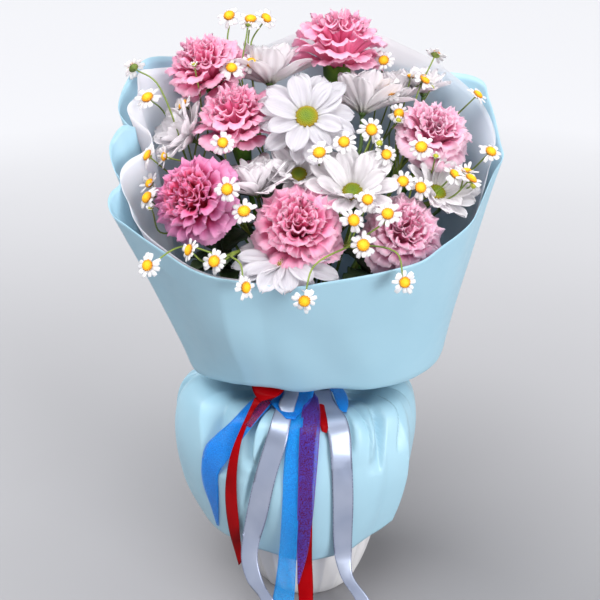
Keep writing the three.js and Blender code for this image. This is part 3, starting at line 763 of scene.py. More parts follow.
# ---------------------------------------------------------------- blue paper collar
# Coated blue paper wrapped round the flowers. It is gathered at the tie, rolls over at the bottom
# and opens upwards, high behind the flowers and low in front, with a ruffled edge on the left.
COLLAR_RIM = [  # in millimetres
    # the right side
    (132, -40, 370), (143, -20, 385), (151, -6, 391), (150, 6, 398), (146, 20, 416),
    (142, 32, 429), (140, 44, 436),
    # the back
    (131, 54, 439), (117, 64, 439), (90, 80, 438), (62, 90, 442), (30, 98, 444),
    (0, 103, 444), (-40, 101, 446), (-78, 93, 448),
    # the left side, with its two ruffles
    (-109, 77, 449), (-122, 68, 451), (-130, 57, 451), (-138, 46, 445), (-146, 34, 432),
    (-148, 22, 420), (-140, 10, 412), (-133, 1, 412), (-141, -7, 416), (-149, -14, 407),
    (-150, -22, 400), (-146, -31, 389), (-141, -38, 381), (-147, -45, 376), (-149, -51, 370),
    (-145, -59, 363),
    # the front
    (-134, -69, 359), (-120, -80, 353), (-104, -90, 346), (-88, -99, 339), (-70, -107, 335),
    (-49, -112, 333), (-15, -116, 330), (15, -113, 333), (45, -107, 336), (64, -101, 338),
    (83, -91, 340), (99, -79, 347), (112, -68, 352), (123, -56, 358),
]
COLLAR_FOLD = [  # how high its bottom hangs, at angles round the bunch
    (0, 221), (40, 223), (90, 224), (140, 222), (180, 215), (203, 209), (228, 213), (243, 217),
    (258, 212), (270, 214), (283, 218.5), (287, 212), (296, 213.5), (304, 212.5), (317, 213.5),
    (340, 217), (360, 221),
]
STEPS_ROUND = 8
COLLAR_NECK = mm(22.6)
COLLAR_ROWS = 60
PAPER = mm(0.5)
ROLL = mm(8)
WAVES_FROM = 0.38  # the share of the way from neck to rim where waves and ruffles begin


def at_angle(table, degrees):
    """The value of a table of angles and values at an angle between them."""
    for (before, low), (after, high) in zip(table, table[1:]):
        if before <= degrees <= after:
            return low + (high - low) * (degrees - before) / (after - before)
    return table[0][1]


def collar_fold(angle, inset):
    """The bottom of the collar is a flattened oval that hangs unevenly over the tie."""
    x = mm(7) + (mm(105) - inset) * math.cos(angle)
    y = (mm(62) - inset) * math.sin(angle)
    return Vector((x, y, mm(at_angle(COLLAR_FOLD, math.degrees(angle) % 360)) + inset))


def wrap_rings(rim, neck_radius, inset):
    """Four closed rings of places: the neck's bottom and top, the fold, and the rim."""
    angles = [math.atan2(point.y, point.x) for point in rim]
    around = [polar(1, angle) * neck_radius for angle in angles]
    low = [point + Vector((0, 0, NECK_LOW)) for point in around]
    high = [point + Vector((0, 0, NECK_HIGH + inset)) for point in around]
    fold = [collar_fold(angle, inset) for angle in angles]
    return [curve_through(ring, STEPS_ROUND, closed=True) for ring in (low, high, fold, rim)]


def calmed(ring, reach):
    """A closed ring with its ruffles smoothed out, by averaging over neighbours on both sides."""
    count = len(ring)
    near = range(-reach, reach + 1)
    sums = [sum((ring[(i + step) % count] for step in near), Vector()) for i in range(count)]
    return [total / len(near) for total in sums]


def bent(corners, share, roundness):
    """The place at a share of the way along four corners, with the third one rolled over."""
    low, high, fold, rim = corners
    lengths = [(high - low).length, (fold - high).length, (rim - fold).length]
    way = share * sum(lengths)
    if way < lengths[0]:
        return low.lerp(high, way / lengths[0])
    way -= lengths[0]
    before = lengths[1] - roundness
    if way < before:
        return high.lerp(fold, way / lengths[1])
    if way < lengths[1] + roundness:
        start = fold.lerp(high, roundness / lengths[1])
        end = fold.lerp(rim, roundness / lengths[2])
        t = (way - before) / (2 * roundness)
        return start.lerp(fold, t).lerp(fold.lerp(end, t), t)
    return fold.lerp(rim, (way - lengths[1]) / lengths[2])


def wrapped(rim, neck_radius, inset, rows, thickness, waves):
    """A sheet from the neck over the fold to the rim. Waves gives how far it is pushed outwards."""
    rings = wrap_rings([mm(*place) for place in rim], neck_radius, inset)
    ruffled = rings[3]
    rings[3] = calmed(ruffled, 2 * STEPS_ROUND)
    columns = len(ruffled)

    def place_at(across, along):
        i = round(across * columns) % columns
        corners = [ring[i] for ring in rings]
        place = bent(corners, along, ROLL)
        out = Vector((corners[2].x, corners[2].y, 0)).normalized()
        up = max(0, along - WAVES_FROM) / (1 - WAVES_FROM)
        angle = math.atan2(out.y, out.x)
        return place + (ruffled[i] - rings[3][i]) * up ** 1.8 + out * waves(angle, up)

    return spread(columns, rows, place_at, thickness, joined=True)


def paper_finish(name, pale, deep):
    finish = Finish(name)
    cloud = finish.noise(9.0, 3.0)
    grain = finish.noise(1400.0, 2.0)
    fibre = finish.noise(120.0, 4.0)
    shade = finish.mix(finish.between(cloud, 0.3, 0.7), pale, deep)
    return finish.surface(
        glow=0.1, glow_colour=deep, Base_Color=shade, Roughness=finish.between(fibre, -0.7, 2.2),
        Coat_Weight=0.12, Coat_Roughness=0.35, Normal=finish.bump(grain, 0.12, 0.0002))


BLUE_PAPER = paper_finish("blue_paper", colour(168, 206, 222), colour(157, 197, 215))


def collar_waves(angle, up):
    """The paper's slow swells, the edge down its front left and the long dent beside that."""
    swell = mm(4) * noise.noise(polar(1.7, angle, up * 1.3)) * math.sin(math.pi * min(up, 1))
    apart = (math.degrees(angle) % 360 - 199 - 6 * up) / 7
    dent = mm(3.4) * math.exp(-apart * apart) * math.sin(math.pi * min(1, up * 1.25)) ** 0.6
    edge = max(0, 1 - abs(math.degrees(angle) % 360 - 229) / 17)
    return swell - dent + mm(6) * edge * math.sin(math.pi * min(1, 0.15 + up * 0.8))


def make_collar():
    mesh = wrapped(COLLAR_RIM, COLLAR_NECK, 0, COLLAR_ROWS, PAPER, collar_waves)
    collar = piece(mesh, "collar_sheet", [BLUE_PAPER], "blue_paper", ["paper_collar"])


make_collar()

# ---------------------------------------------------------------- film liner
# A sheet of frosted film between the flowers and the paper. It is a little smaller than the
# paper in front, stands above it at the back, and curls in two deep ruffles on the left.
FILM_RIM = [  # in millimetres
    # the right side
    (101, -72, 343), (113, -62, 348), (122, -54, 353), (131, -38, 369), (138, -20, 385),
    (144, -4, 396), (145, 8, 407), (139, 26, 421), (129, 42, 431),
    # the back, highest in the middle
    (116, 54, 440), (101, 66, 449), (80, 78, 457), (57, 86, 465), (27, 90, 466),
    (-6, 92, 465), (-27, 90, 458), (-55, 86, 447), (-88, 74, 444),
    # the left side, with its curls
    (-110, 62, 444), (-124, 52, 445), (-133, 42, 445), (-133, 30, 434), (-133, 22, 431),
    (-139, 15, 426), (-138, 7, 421), (-129, 0, 415), (-121, -7, 411), (-119, -14, 405),
    (-124, -21, 400), (-136, -27, 394), (-141, -34, 387), (-139, -42, 377), (-134, -50, 370),
    (-129, -60, 360),
    # the front
    (-118, -72, 352), (-102, -82, 343), (-85, -91, 335), (-67, -98, 331), (-42, -103, 329),
    (-13, -106, 325), (16, -104, 327), (44, -98, 330), (66, -92, 332), (85, -83, 336),
]
FILM_NECK = mm(18.6)
FILM_INSET = mm(7)
FILM_ROWS = 50
FILM = mm(0.3)


def film_finish():
    """Clear at the neck, milky towards the rim and milkier on the left side."""
    finish = Finish("milky_film")
    cloud = finish.noise(16.0, 3.0)
    up = finish.axis(finish.on_sheet(), 1)
    left = finish.between(finish.axis(finish.place(), 0), mm(20), mm(-120))
    shade = finish.mix(cloud, colour(244, 244, 248), colour(254, 250, 252))
    return finish.surface(
        glow=0.45, glow_colour=colour(252, 250, 253), Base_Color=shade,
        Roughness=finish.between(cloud, -0.5, 1.9),
        Alpha=finish.between(up, 0.5, 2.0) + cloud * 0.12 + left * 0.25)


def film_waves(angle, up):
    return mm(4) * (noise.noise(polar(4, angle, up)) - 0.5) * up * (1 - up ** 4)


def make_film():
    mesh = wrapped(FILM_RIM, FILM_NECK, FILM_INSET, FILM_ROWS, FILM, film_waves)
    film = piece(mesh, "film_sheet", [film_finish()], "milky_film", ["film_liner"])


make_film()

# ---------------------------------------------------------------- blue paper skirt
# The same blue paper, gathered outside the collar and pulled tight by the ribbons. It flares out
# in pleats under the collar, swells and falls in to its hem round the vase.
SKIRT_NECK = mm(26.8)
SKIRT_PROFILE = [
    (SKIRT_NECK, NECK_HIGH - mm(3)), (SKIRT_NECK, NECK_LOW), (mm(47), mm(189)), (mm(76), mm(195)),
    (mm(98), mm(191)), (mm(108), mm(171)), (mm(110), mm(140)), (mm(104), mm(108)), (mm(94), mm(80)),
    (mm(84), mm(57)),
]
SKIRT_FOLDS = [
    # angle round the skirt where it starts and ends, share down where it starts and ends, width
    # in degrees on the side before it and on the side after it, depth in millimetres
    (200, 222, 0.20, 0.66, 6, 24, 17),
    (240, 241, 0.30, 0.62, 10, 1.2, 16),
    (248, 235, 0.48, 0.76, 1.5, 9, 6),
    (257, 250, 0.30, 0.60, 5, 1, 3),
    (286, 285, 0.26, 0.58, 5, 1, 5),
    (298, 294, 0.26, 0.56, 6, 1, 6),
    (308, 302, 0.26, 0.60, 6, 1, 7),
    (325, 309, 0.22, 0.64, 9, 1.2, 14),
    (303, 303, 0.40, 0.60, 12, 9, -6),
    (335, 320, 0.26, 0.60, 1, 8, 8),
    (327, 326, 0.36, 1.15, 13, 9, -7),
    (346, 344, 0.24, 0.62, 2, 9, 6),
]
SKIRT_HEM = [  # how much of the profile the paper covers, at angles round the skirt
    (0, 0.86), (40, 0.93), (90, 0.97), (150, 0.95), (200, 0.93), (240, 0.965), (270, 1.0),
    (300, 0.955), (320, 0.9), (335, 0.84), (360, 0.86),
]
SMALL_FOLDS = 24
SKIRT_COLUMNS = 540
SKIRT_ROWS = 90


def skirt_reach(angle):
    """The skirt is fuller on the left than on the right, and flatter at the front and back."""
    side = 0.91 - 0.12 * math.cos(angle)
    depth = 0.77 + 0.03 * math.sin(angle)
    return 1 / math.hypot(math.cos(angle) / side, math.sin(angle) / depth)


def skirt_folds():
    """The folds that show in front, and small ones round the back."""
    draw = random.Random(5)
    folds = list(SKIRT_FOLDS)
    for _ in range(SMALL_FOLDS):
        start = draw.uniform(8, 172)
        turn = draw.uniform(-9, 9)
        widths = [1, draw.uniform(4, 11)]
        draw.shuffle(widths)
        end = draw.uniform(0.45, 0.8)
        folds.append((start, start + turn, 0.18, end, *widths, draw.uniform(2, 7)))
    return folds


def fold_depth(folds, degrees, share):
    """How far in the paper is pulled at an angle round the skirt and a share of the way down."""
    depth = 0
    for first, second, start, end, before, after, deep in folds:
        if start < share < end:
            way = (share - start) / (end - start)
            apart = (degrees - first - (second - first) * way + 180) % 360 - 180
            edge = 1 + apart / before if apart < 0 else 1 - apart / after
            if edge > 0:
                depth += deep * edge ** 1.2 * math.sin(math.pi * min(way, 1)) ** 0.7
    return mm(depth)


def gathers(degrees, share):
    """Small sharp pleats where the paper is pulled in at the tie."""
    fade = max(0, min(1, (share - 0.1) * 9, (0.36 - share) * 6, abs(degrees - 205) / 20 - 0.6))
    drift = 12 * noise.noise(Vector((math.radians(degrees) * 3, 1, 0)))
    saw = abs((degrees / 8 + drift / 4) % 1 - 0.5) * 2
    return mm(3) * saw * fade


def make_skirt():
    line = curve_through([Vector((radius, 0, height)) for radius, height in SKIRT_PROFILE], 8)
    last = len(line) - 1
    folds = skirt_folds()

    def place_at(across, along):
        angle = TAU * across
        degrees = math.degrees(angle)
        share = along * (1 + (at_angle(SKIRT_HEM, degrees) - 1) * along)
        index = min(int(share * last), last - 1)
        point = line[index].lerp(line[index + 1], share * last - index)
        radius = SKIRT_NECK + (point.x - SKIRT_NECK) * skirt_reach(angle)
        dip = fold_depth(folds, degrees, share) + gathers(degrees, share)
        crumple = noise.noise(polar(3, angle, share * 5))
        radius += mm(2.5) * crumple * min(1, share * 2) - dip * min(1, share * 2.2)
        lower = dip * max(0, 1 - share * 2)
        return polar(radius, angle, point.z - lower)

    mesh = spread(SKIRT_COLUMNS, SKIRT_ROWS, place_at, PAPER, joined=True)
    shape = BVHTree.FromBMesh(mesh)
    skirt = piece(mesh, "skirt_sheet", [BLUE_PAPER], "blue_paper", ["paper_skirt"])
    return shape


SKIRT_SHAPE = make_skirt()

# ---------------------------------------------------------------- ribbons
# Satin and organza ribbons tied together round the neck. A satin band goes round, the knot sits
# at the front with short loops, and the tails fall down the skirt's front and past the vase.
BAND_RADIUS = mm(29.2)
RIBBON = mm(0.3)
ONTO_SKIRT = Vector((0, 0.85, -0.53)).normalized()  # backwards and down, onto its front
RIBBON_STEPS = 7
PROBES = 7


def selvedge(finish, where, start):
    """1 on both edges of a ribbon, from a share of its width off the middle line, and 0 between."""
    off_middle = finish.axis(where, 0) - 0.5
    return finish.node("ShaderNodeMath", {"operation": "ABSOLUTE"}, {0: off_middle}) > start


def satin_finish(name, dark, light, edge, metal, shine):
    """Woven satin. Its two selvedges are stitched with a darker thread."""
    finish = Finish(name)
    where = finish.on_sheet()
    thread = finish.noise(1.0, 1.0, finish.stretched(where, (6, 500, 1)))
    stitch = finish.noise(1.0, 0.0, finish.stretched(where, (1, 260, 1)))
    border = selvedge(finish, where, 0.455)
    cloud = finish.noise(30.0)
    shade = finish.mix(finish.between(cloud, 0.3, 0.7), dark, light)
    shade = finish.mix(border * finish.between(stitch, 0.2, 0.7), shade, edge)
    return finish.surface(
        Base_Color=shade, Roughness=finish.between(thread, -1.2, 3.4), Metallic=metal,
        Anisotropic=0.5, Specular_IOR_Level=shine, Normal=finish.bump(thread, 0.15, 0.0002))


def organza_finish(name, dark, light, cover):
    """Thin woven net that lets what is behind it show, with a dense edge thread."""
    finish = Finish(name)
    speck = finish.noise(1300.0, 2.0)
    border = selvedge(finish, finish.on_sheet(), 0.465)
    shade = finish.mix(finish.between(speck, 0.4, 0.6), dark, light)
    shade = finish.mix(border * 0.7, shade, dark)
    opacity = finish.between(speck, 0.2, 0.8) * 0.4 + (cover - 0.2) + border * 0.4
    return finish.surface(
        glow=0.3, glow_colour=light, Base_Color=shade, Roughness=finish.between(speck, -0.6, 2.2),
        Alpha=opacity, Sheen_Weight=0.2, Normal=finish.bump(speck, 0.25, 0.0002))


RED_SATIN = satin_finish(
    "red_satin", colour(122, 0, 4), colour(160, 1, 8), colour(84, 0, 4), metal=0.0, shine=0.06)
# The white satin is painted lavender-grey: partly the satin's own tint, partly painted shade.
WHITE_SATIN = satin_finish(
    "white_satin", colour(150, 160, 184), colour(170, 178, 198), colour(112, 118, 148), metal=0.5,
    shine=0.7)
BLUE_ORGANZA = organza_finish("blue_organza", colour(0, 138, 228), colour(0, 190, 255), 0.38)
DEEP_ORGANZA = organza_finish("deep_organza", colour(0, 126, 222), colour(0, 172, 252), 0.58)
RED_ORGANZA = organza_finish("red_organza", colour(120, 8, 70), colour(176, 20, 96), 0.42)
PURPLE_ORGANZA = organza_finish("purple_organza", colour(140, 16, 84), colour(92, 100, 240), 0.3)


def to_clear_skirt(place, lift):
    """How far forward a place has to go so that the skirt does not hide it."""
    reach = mm(80)
    distance = SKIRT_SHAPE.ray_cast(place - ONTO_SKIRT * reach, ONTO_SKIRT)[3]
    if distance is None:
        return 0
    return max(0, reach - distance + lift)


def nearby(values, i):
    """A value of a list with the two before it and the two after it."""
    return values[max(i - 2, 0):i + 3]


def ribbon(rows, lift, arch):
    """A band between two edges. Each row has a place on its left edge and one on its right, and
    moves forward as a whole until it clears the skirt by the lift. The arch rounds its face."""
    lefts = curve_through([mm(*left) for left, _ in rows], RIBBON_STEPS)
    rights = curve_through([mm(*right) for _, right in rows], RIBBON_STEPS)
    last = len(lefts) - 1
    shares = [probe / (PROBES - 1) for probe in range(PROBES)]
    forward = []
    for left, right in zip(lefts, rights):
        forward.append(max(to_clear_skirt(left.lerp(right, share), lift) for share in shares))
    near = [max(nearby(forward, i)) for i in range(last + 1)]
    even = [sum(nearby(near, i)) / len(nearby(near, i)) for i in range(last + 1)]

    def place_at(across, along):
        i = round(along * last)
        u = across * 2 - 1
        place = lefts[i].lerp(rights[i], across)
        return place - ONTO_SKIRT * (max(even[i], forward[i]) + arch * (1 - u * u))

    return spread(8, last, place_at, RIBBON)


# Each has its rows from the tie downwards, with a place on the left edge and one on the right, how
# far it lifts off the skirt, and its cut, the width and length of the flat ribbon, in millimetres.
TAILS = {
    "blue_left": {
        "finish": DEEP_ORGANZA, "slot": "blue_organza", "lift": 1.1, "cut": (18, 170), "rows": [
            ((-34, -36, 200), (-22, -40, 200)), ((-45, -43, 197), (-30, -53, 197)),
            ((-61, -60, 187), (-41, -68, 191)), ((-73, -58, 174), (-51, -70, 178)),
            ((-83, -55, 160), (-61, -69, 161)), ((-87, -51, 136), (-72, -62, 139)),
            ((-86, -49, 119), (-73, -58, 118)), ((-81, -46, 97), (-74, -52, 97)),
            ((-77, -42, 75), (-75, -43, 74)),
        ],
    },
    "red_left": {
        "finish": RED_SATIN, "slot": "red_satin", "lift": 4.2, "cut": (10, 160), "rows": [
            ((-42, -56, 207), (-36, -58, 206)), ((-48, -61, 194), (-43, -60, 196)),
            ((-60, -70, 167), (-52, -70, 176)), ((-65, -68, 143), (-56, -72, 152)),
            ((-67, -64, 114), (-57, -70, 122)), ((-65, -60, 82), (-56, -65, 90)),
            ((-58, -62, 47), (-55, -63, 52)),
        ],
    },
    "white_left": {
        "finish": WHITE_SATIN, "slot": "white_satin", "lift": 1.6, "cut": (15, 280), "rows": [
            ((-20, -38, 199), (-8, -38, 199)), ((-26, -58, 196), (-12, -62, 196)),
            ((-32, -74, 182), (-17, -80, 178)), ((-42, -76, 146), (-25, -81, 148)),
            ((-50, -71, 104), (-33, -77, 106)), ((-55, -78, 70), (-41, -80, 72)),
            ((-50, -84, 48), (-36, -86, 47)), ((-38, -86, 28), (-26, -88, 26)),
            ((-32, -98, 3), (-19, -99, 3)), ((-33, -134, 1.4), (-20, -134, 1.4)),
        ],
    },
    "blue_centre": {
        "finish": BLUE_ORGANZA, "slot": "blue_organza", "lift": 1.2, "cut": (14, 285), "rows": [
            ((-10, -40, 199), (-2, -40, 199)), ((-12, -62, 196), (-3, -62, 196)),
            ((-16, -77, 184), (-4, -75, 190)), ((-19, -83, 156), (-5, -83, 157)),
            ((-20, -82, 128), (-7, -82, 118)), ((-23, -80, 77), (-9, -82, 72)),
            ((-26, -84, 49), (-10, -84, 46)), ((-29, -86, 28), (-11, -86, 28)),
            ((-29, -98, 3), (-11, -98, 3)), ((-27, -132, 1.4), (-9, -132, 1.4)),
        ],
    },
    "red_centre": {
        "finish": RED_SATIN, "slot": "purple_layered", "lift": 1.6, "cut": (12, 285), "rows": [
            ((0, -38, 199), (8, -38, 199)), ((-4, -58, 197), (9, -62, 196)),
            ((-6, -78, 182), (6, -80, 184)), ((-7, -84, 144), (4, -85, 146)),
            ((-8, -80, 97), (4, -83, 110)), ((-8, -81, 70), (4, -82, 70)),
            ((-8, -84, 46), (5, -84, 42)), ((-7, -86, 28), (5, -86, 28)),
            ((-6, -98, 3), (6, -98, 3)), ((-4, -130, 1.4), (8, -130, 1.4)),
        ],
    },
    "white_right": {
        "finish": WHITE_SATIN, "slot": "white_satin", "lift": 2.4, "cut": (17, 290), "rows": [
            ((4, -34, 202), (19, -34, 202)), ((7, -50, 200), (22, -49, 199)),
            ((10, -62, 198), (26, -59, 198)), ((13, -71, 195), (31, -68, 194)),
            ((16, -80, 185), (34, -76, 183)), ((18, -84, 170), (35, -80, 167)),
            ((20, -82, 128), (37, -77, 124)),
            ((22, -78, 74), (37, -75, 76)), ((28, -84, 52), (38, -83, 53)),
            ((41, -86, 28), (53, -86, 28)), ((48, -98, 3), (61, -98, 3)),
            ((54, -134, 1.4), (68, -134, 1.4)),
        ],
    },
}
LOOPS = {  # short pieces at the knot, each with the node that it is part of
    "organza_loop": {
        "finish": DEEP_ORGANZA, "slot": "blue_organza", "of": "bow_loop_blue", "lift": 5.0,
        "cut": (26, 42), "rows": [
            ((-28, -30, 203), (6, -30, 203)), ((-33, -43, 201), (4, -46, 201)),
            ((-26, -60, 200), (-2, -62, 200)), ((-20, -67, 197.5), (-8, -68, 197.5)),
            ((-17, -69, 195), (-10, -70, 195)),
        ],
    },
    "white_loop": {
        "finish": WHITE_SATIN, "slot": "white_satin", "of": "ribbon_band", "lift": 5.4,
        "cut": (13, 40), "rows": [
            ((-17, -30, 205), (-6, -30, 205)), ((-20, -46, 203.5), (-7, -44, 203.5)),
            ((-23, -59, 202), (-10, -62, 202)), ((-21, -65, 199), (-11, -67, 199)),
        ],
    },
    "blue_loop": {
        "finish": DEEP_ORGANZA, "slot": "blue_organza", "of": "bow_loop_blue", "lift": 2.6,
        "cut": (11, 45), "rows": [
            ((12, -22, 203), (24, -22, 203)), ((20, -38, 202), (31, -35, 200)),
            ((23, -51, 200), (33, -49, 198)), ((26, -60, 197), (31, -61, 196)),
        ],
    },
    "red_fold": {
        "finish": RED_SATIN, "slot": "red_satin", "of": "bow_loop_red", "lift": 5.4,
        "cut": (15, 25), "rows": [
            ((-46, -47, 218), (-17, -48, 211)), ((-43.5, -54, 212), (-24, -58, 209)),
            ((-41, -57, 208), (-32, -59, 206.5)), ((-39.5, -58, 205), (-37, -59, 205)),
        ],
    },
    "red_under": {
        "finish": RED_SATIN, "slot": "red_satin", "of": "bow_loop_red", "lift": 3.6,
        "cut": (10, 45), "rows": [
            ((3, -38, 200), (12, -38, 200)), ((5, -56, 198), (14, -60, 198)),
            ((9, -71, 193), (16, -75, 191)), ((11, -77, 188), (15, -78, 187)),
        ],
    },
    "purple_over_left": {
        "finish": RED_ORGANZA, "slot": "purple_layered", "of": "bow_loop_red", "lift": 3.6,
        "cut": (12, 45), "rows": [
            ((-38, -40, 202), (-25, -43, 202)), ((-46, -58, 198), (-36, -64, 197)),
            ((-51, -67, 189), (-45, -71, 188)),
        ],
    },
    "purple_over_tail": {
        "finish": PURPLE_ORGANZA, "slot": "purple_layered", "of": "ribbon_tail_red_centre",
        "lift": 3.0, "cut": (11, 190), "rows": [
            ((0, -39, 201), (8, -39, 201)), ((-4, -60, 198.5), (10, -65, 198)),
            ((-6.5, -81, 184), (9, -83, 182)), ((-7.5, -87.5, 144), (6.5, -87.5, 146)),
            ((-8.4, -84.5, 97), (4, -86.5, 110)), ((-8.4, -83.5, 70), (0, -84, 74)),
            ((-8.2, -85.5, 46), (-7, -85.5, 46)),
        ],
    },
}


def make_ribbons():
    for name, tail in TAILS.items():
        mesh = ribbon(tail["rows"], mm(tail["lift"]), arch=mm(0.2))
        made = piece(mesh, f"tail_{name}", [tail["finish"]], tail["slot"], [f"ribbon_tail_{name}"])
        mm(*tail["cut"], 0)[:2]
    for name, loop in LOOPS.items():
        mesh = ribbon(loop["rows"], mm(loop["lift"]), arch=mm(0.8))
        made = piece(mesh, name, [loop["finish"]], loop["slot"], [loop["of"]])
        mm(*loop["cut"], 0)[:2]


make_ribbons()


def make_band():
    """The satin band round the neck, gathered into small folds."""
    def place_at(across, along):
        angle = TAU * across
        radius = BAND_RADIUS + mm(0.7) * math.sin(angle * 31) * math.sin(math.pi * along)
        height = NECK_LOW + mm(1) + (NECK_HIGH - NECK_LOW - mm(3)) * along
        return polar(radius, angle, height)

    mesh = spread(180, 6, place_at, RIBBON, joined=True)
    band = piece(mesh, "satin_band", [WHITE_SATIN], "white_satin", ["ribbon_band"])
    mm(184, 11, 0)[:2]


make_band()


def make_knot():
    profile = [
        (0, -11), (1.8, -10.6), (3.0, -9), (4.6, -6), (4.9, 0), (4.6, 6), (3.0, 9), (1.8, 10.6),
        (0, 11)]
    mesh = turned([(mm(radius), mm(height)) for radius, height in profile], steps=24)
    place = seated(Vector((mm(-5), -BAND_RADIUS - mm(5.5), mm(198))), (1, 0, 0))
    bmesh.ops.transform(mesh, matrix=place, verts=mesh.verts[:])
    piece(mesh, "satin_knot", [RED_SATIN], "red_satin", ["ribbon_knot"])


make_knot()

# ---------------------------------------------------------------- carnation blooms
# Each bloom is a dome of some fifty thin petals in rings, all rising from the calyx. The outer
# ones are broad fans that lie out and droop over it, the inner ones stand up and crumple.
PETAL = mm(0.25)
WHORLS = [  # petals, reach of their tips, height of their tips, half their spread, ruffle
    (6, 1.02, -0.40, 0.62, 0.035),
    (7, 1.03, -0.14, 0.58, 0.045),
    (8, 0.94, 0.11, 0.52, 0.065),
    (8, 0.80, 0.29, 0.58, 0.085),
    (8, 0.63, 0.42, 0.70, 0.105),
    (7, 0.46, 0.51, 0.88, 0.115),
    (6, 0.30, 0.56, 1.15, 0.115),
    (4, 0.14, 0.57, 1.80, 0.105),
]
PETAL_COLUMNS = 26
PETAL_ROWS = 9
USUAL_BLOOM = mm(32)  # the radius that a petal's thickness is worked out for
BLOOM_SEED = 40
LOWERED = -0.05  # what the raised bloom's outer tips come down by, as a share of its radius


def carnation_petal(draw, reach, height, half_spread, ruffle):
    """A fan with a narrow claw and a toothed edge. Sizes are shares of the bloom's radius."""
    seed = draw.uniform(0, 100)
    phase = draw.uniform(0, TAU)
    waves = (1.7 + 1.1 * reach) * draw.uniform(0.8, 1.25)
    reach *= draw.uniform(0.86, 1.08)
    height += draw.uniform(-0.10, 0.08)
    claw = Vector((0.10, 0, -0.60))
    up = Vector((0.14 + 0.16 * reach, 0, -0.30 + 0.45 * height))
    over = Vector((0.68 * reach, 0, height + 0.32 * reach - 0.08))
    tip = Vector((reach, 0, height))

    def place_at(across, along):
        u = across * 2 - 1
        v = along * (1 - 0.22 * abs(u) ** 3)
        if along > 0.99:
            v += 0.012 if round(across * PETAL_COLUMNS) % 2 else -0.012
            notch = noise.noise(Vector((across * 5, seed, 0)))
            v += 0.025 * abs(math.cos(u * 7.5 + phase)) + 0.03 * notch
        w = 1 - v
        centre = claw * w ** 3 + up * 3 * w * w * v + over * 3 * w * v * v + tip * v ** 3
        way = (up - claw) * w * w + (over - up) * 2 * w * v + (tip - over) * v * v
        normal = Vector((-way.z, 0, way.x)).normalized()
        swing = ruffle * v ** 2.5 * math.sin(math.pi * waves * u + phase)
        crumple = ruffle * 0.8 * v ** 3 * noise.noise(Vector((u * 2.4, v * 2, seed)))
        centre += normal * (swing + crumple - 0.05 * (1 - u * u) * v)
        turn = half_spread * u * (0.7 + 0.3 * v)
        turn += 0.8 * ruffle * v * math.cos(math.pi * waves * u + phase)
        return polar(centre.x, turn, centre.z)

    return spread(PETAL_COLUMNS, PETAL_ROWS, place_at, PETAL / USUAL_BLOOM)


def make_bloom(seed, lifted):
    """A bloom of radius 1 that looks up its z axis. Tone runs from the outer ring to the heart.
    Lifted moves the tips of the outer three rings up or down."""
    draw = random.Random(seed)
    bloom = bmesh.new()
    for ring, (count, reach, height, half_spread, ruffle) in enumerate(WHORLS):
        start = draw.uniform(0, TAU)
        height += lifted * max(0, 1 - ring / 3)
        for i in range(count):
            petal = carnation_petal(draw, reach, height, half_spread, ruffle)
            turn = start + TAU * (i + draw.uniform(-0.25, 0.25)) / count
            lean = Matrix.Rotation(draw.uniform(-0.28, 0.28), 4, "X")
            tone = ring / (len(WHORLS) - 1) * 0.8 + draw.uniform(0, 0.2)
            gather(bloom, as_part(petal), Matrix.Rotation(turn, 4, "Z") @ lean, tone=tone)
    return bloom


def carnation_finish(name, edge, outer, inner, deep):
    """Pale at the petals' edges, with fine veins, and deeper towards their claws and the heart:
    partly the petals' own colour, partly painted shade where they crowd together.
    """
    finish = Finish(name)
    where = finish.on_sheet()
    along = finish.axis(where, 1)
    tone = finish.tone()
    veins = finish.noise(1.0, 2.0, finish.stretched(where, (30, 1.5, 1)))
    body = finish.mix(finish.between(tone, 0.25, 0.75), outer, inner)
    shade = finish.mix(finish.between(along + veins * 0.35, 0.85, 1.22), body, edge)
    # Painted shade on top of the deeper pink: the claws of the inner rings are darkened where the
    # petals crowd in.
    claw = finish.between(along, 0.8, 0.3) * finish.between(tone, -0.2, 0.45)
    shade = finish.mix(claw, shade, deep)
    return finish.surface(
        glow=0.45, glow_colour=edge, Base_Color=shade, Roughness=finish.between(veins, -0.8, 1.6),
        Sheen_Weight=0.1, Normal=finish.bump(veins, 0.3, 0.0004))


ROSE = carnation_finish(
    "carnation_rose", colour(255, 216, 234), colour(255, 164, 204), colour(255, 138, 188),
    colour(252, 104, 160))
LILAC_ROSE = carnation_finish(
    "carnation_lilac", colour(246, 184, 222), colour(222, 120, 186), colour(255, 88, 130),
    colour(244, 44, 92))
PALE_ROSE = carnation_finish(
    "carnation_pale", colour(255, 232, 243), colour(255, 196, 222), colour(255, 172, 208),
    colour(255, 142, 188))
CARNATION_FINISHES = [ROSE, ROSE, ROSE, PALE_ROSE, LILAC_ROSE, ROSE, PALE_ROSE]


def make_carnations():
    for i, (flower, finish) in enumerate(zip(CARNATIONS, CARNATION_FINISHES)):
        raised = flower.get("raised", 0)
        mesh = make_bloom(BLOOM_SEED + i, LOWERED if raised else 0)
        size = Matrix.Scale(flower["radius"] * flower.get("full", 1.07), 4)
        place = seated(flower["at"], flower["looks"]) @ Matrix.Translation((0, 0, raised)) @ size
        bmesh.ops.transform(mesh, matrix=place, verts=mesh.verts[:])
        piece(mesh, f"carnation_petals_{i + 1}", [finish], "carnation_petal",
              [f"carnation_bloom_{i + 1}"])


make_carnations()

# ---------------------------------------------------------------- daisy chrysanthemums
# White flowers with broad grooved petals round a green eye of packed florets, whose outer ones
# have turned mustard yellow. The open ones lie nearly flat, and the others are half open or still
# stand up like a cup.
DAISY_EYE = mm(8.2)
DAISY_FORMS = {  # rings of petals: how many, their length, rise from flat and droop
    "open": [(12, 1.06, 0.20, 0.20), (8, 0.90, 0.50, 0.30)],
    "half": [(11, 1.10, 0.62, 0.12), (8, 1.00, 0.95, 0.12)],
    "cup": [(9, 1.12, 0.52, 0.06), (8, 1.08, 0.86, 0.0), (6, 0.95, 1.2, 0.0)],
}


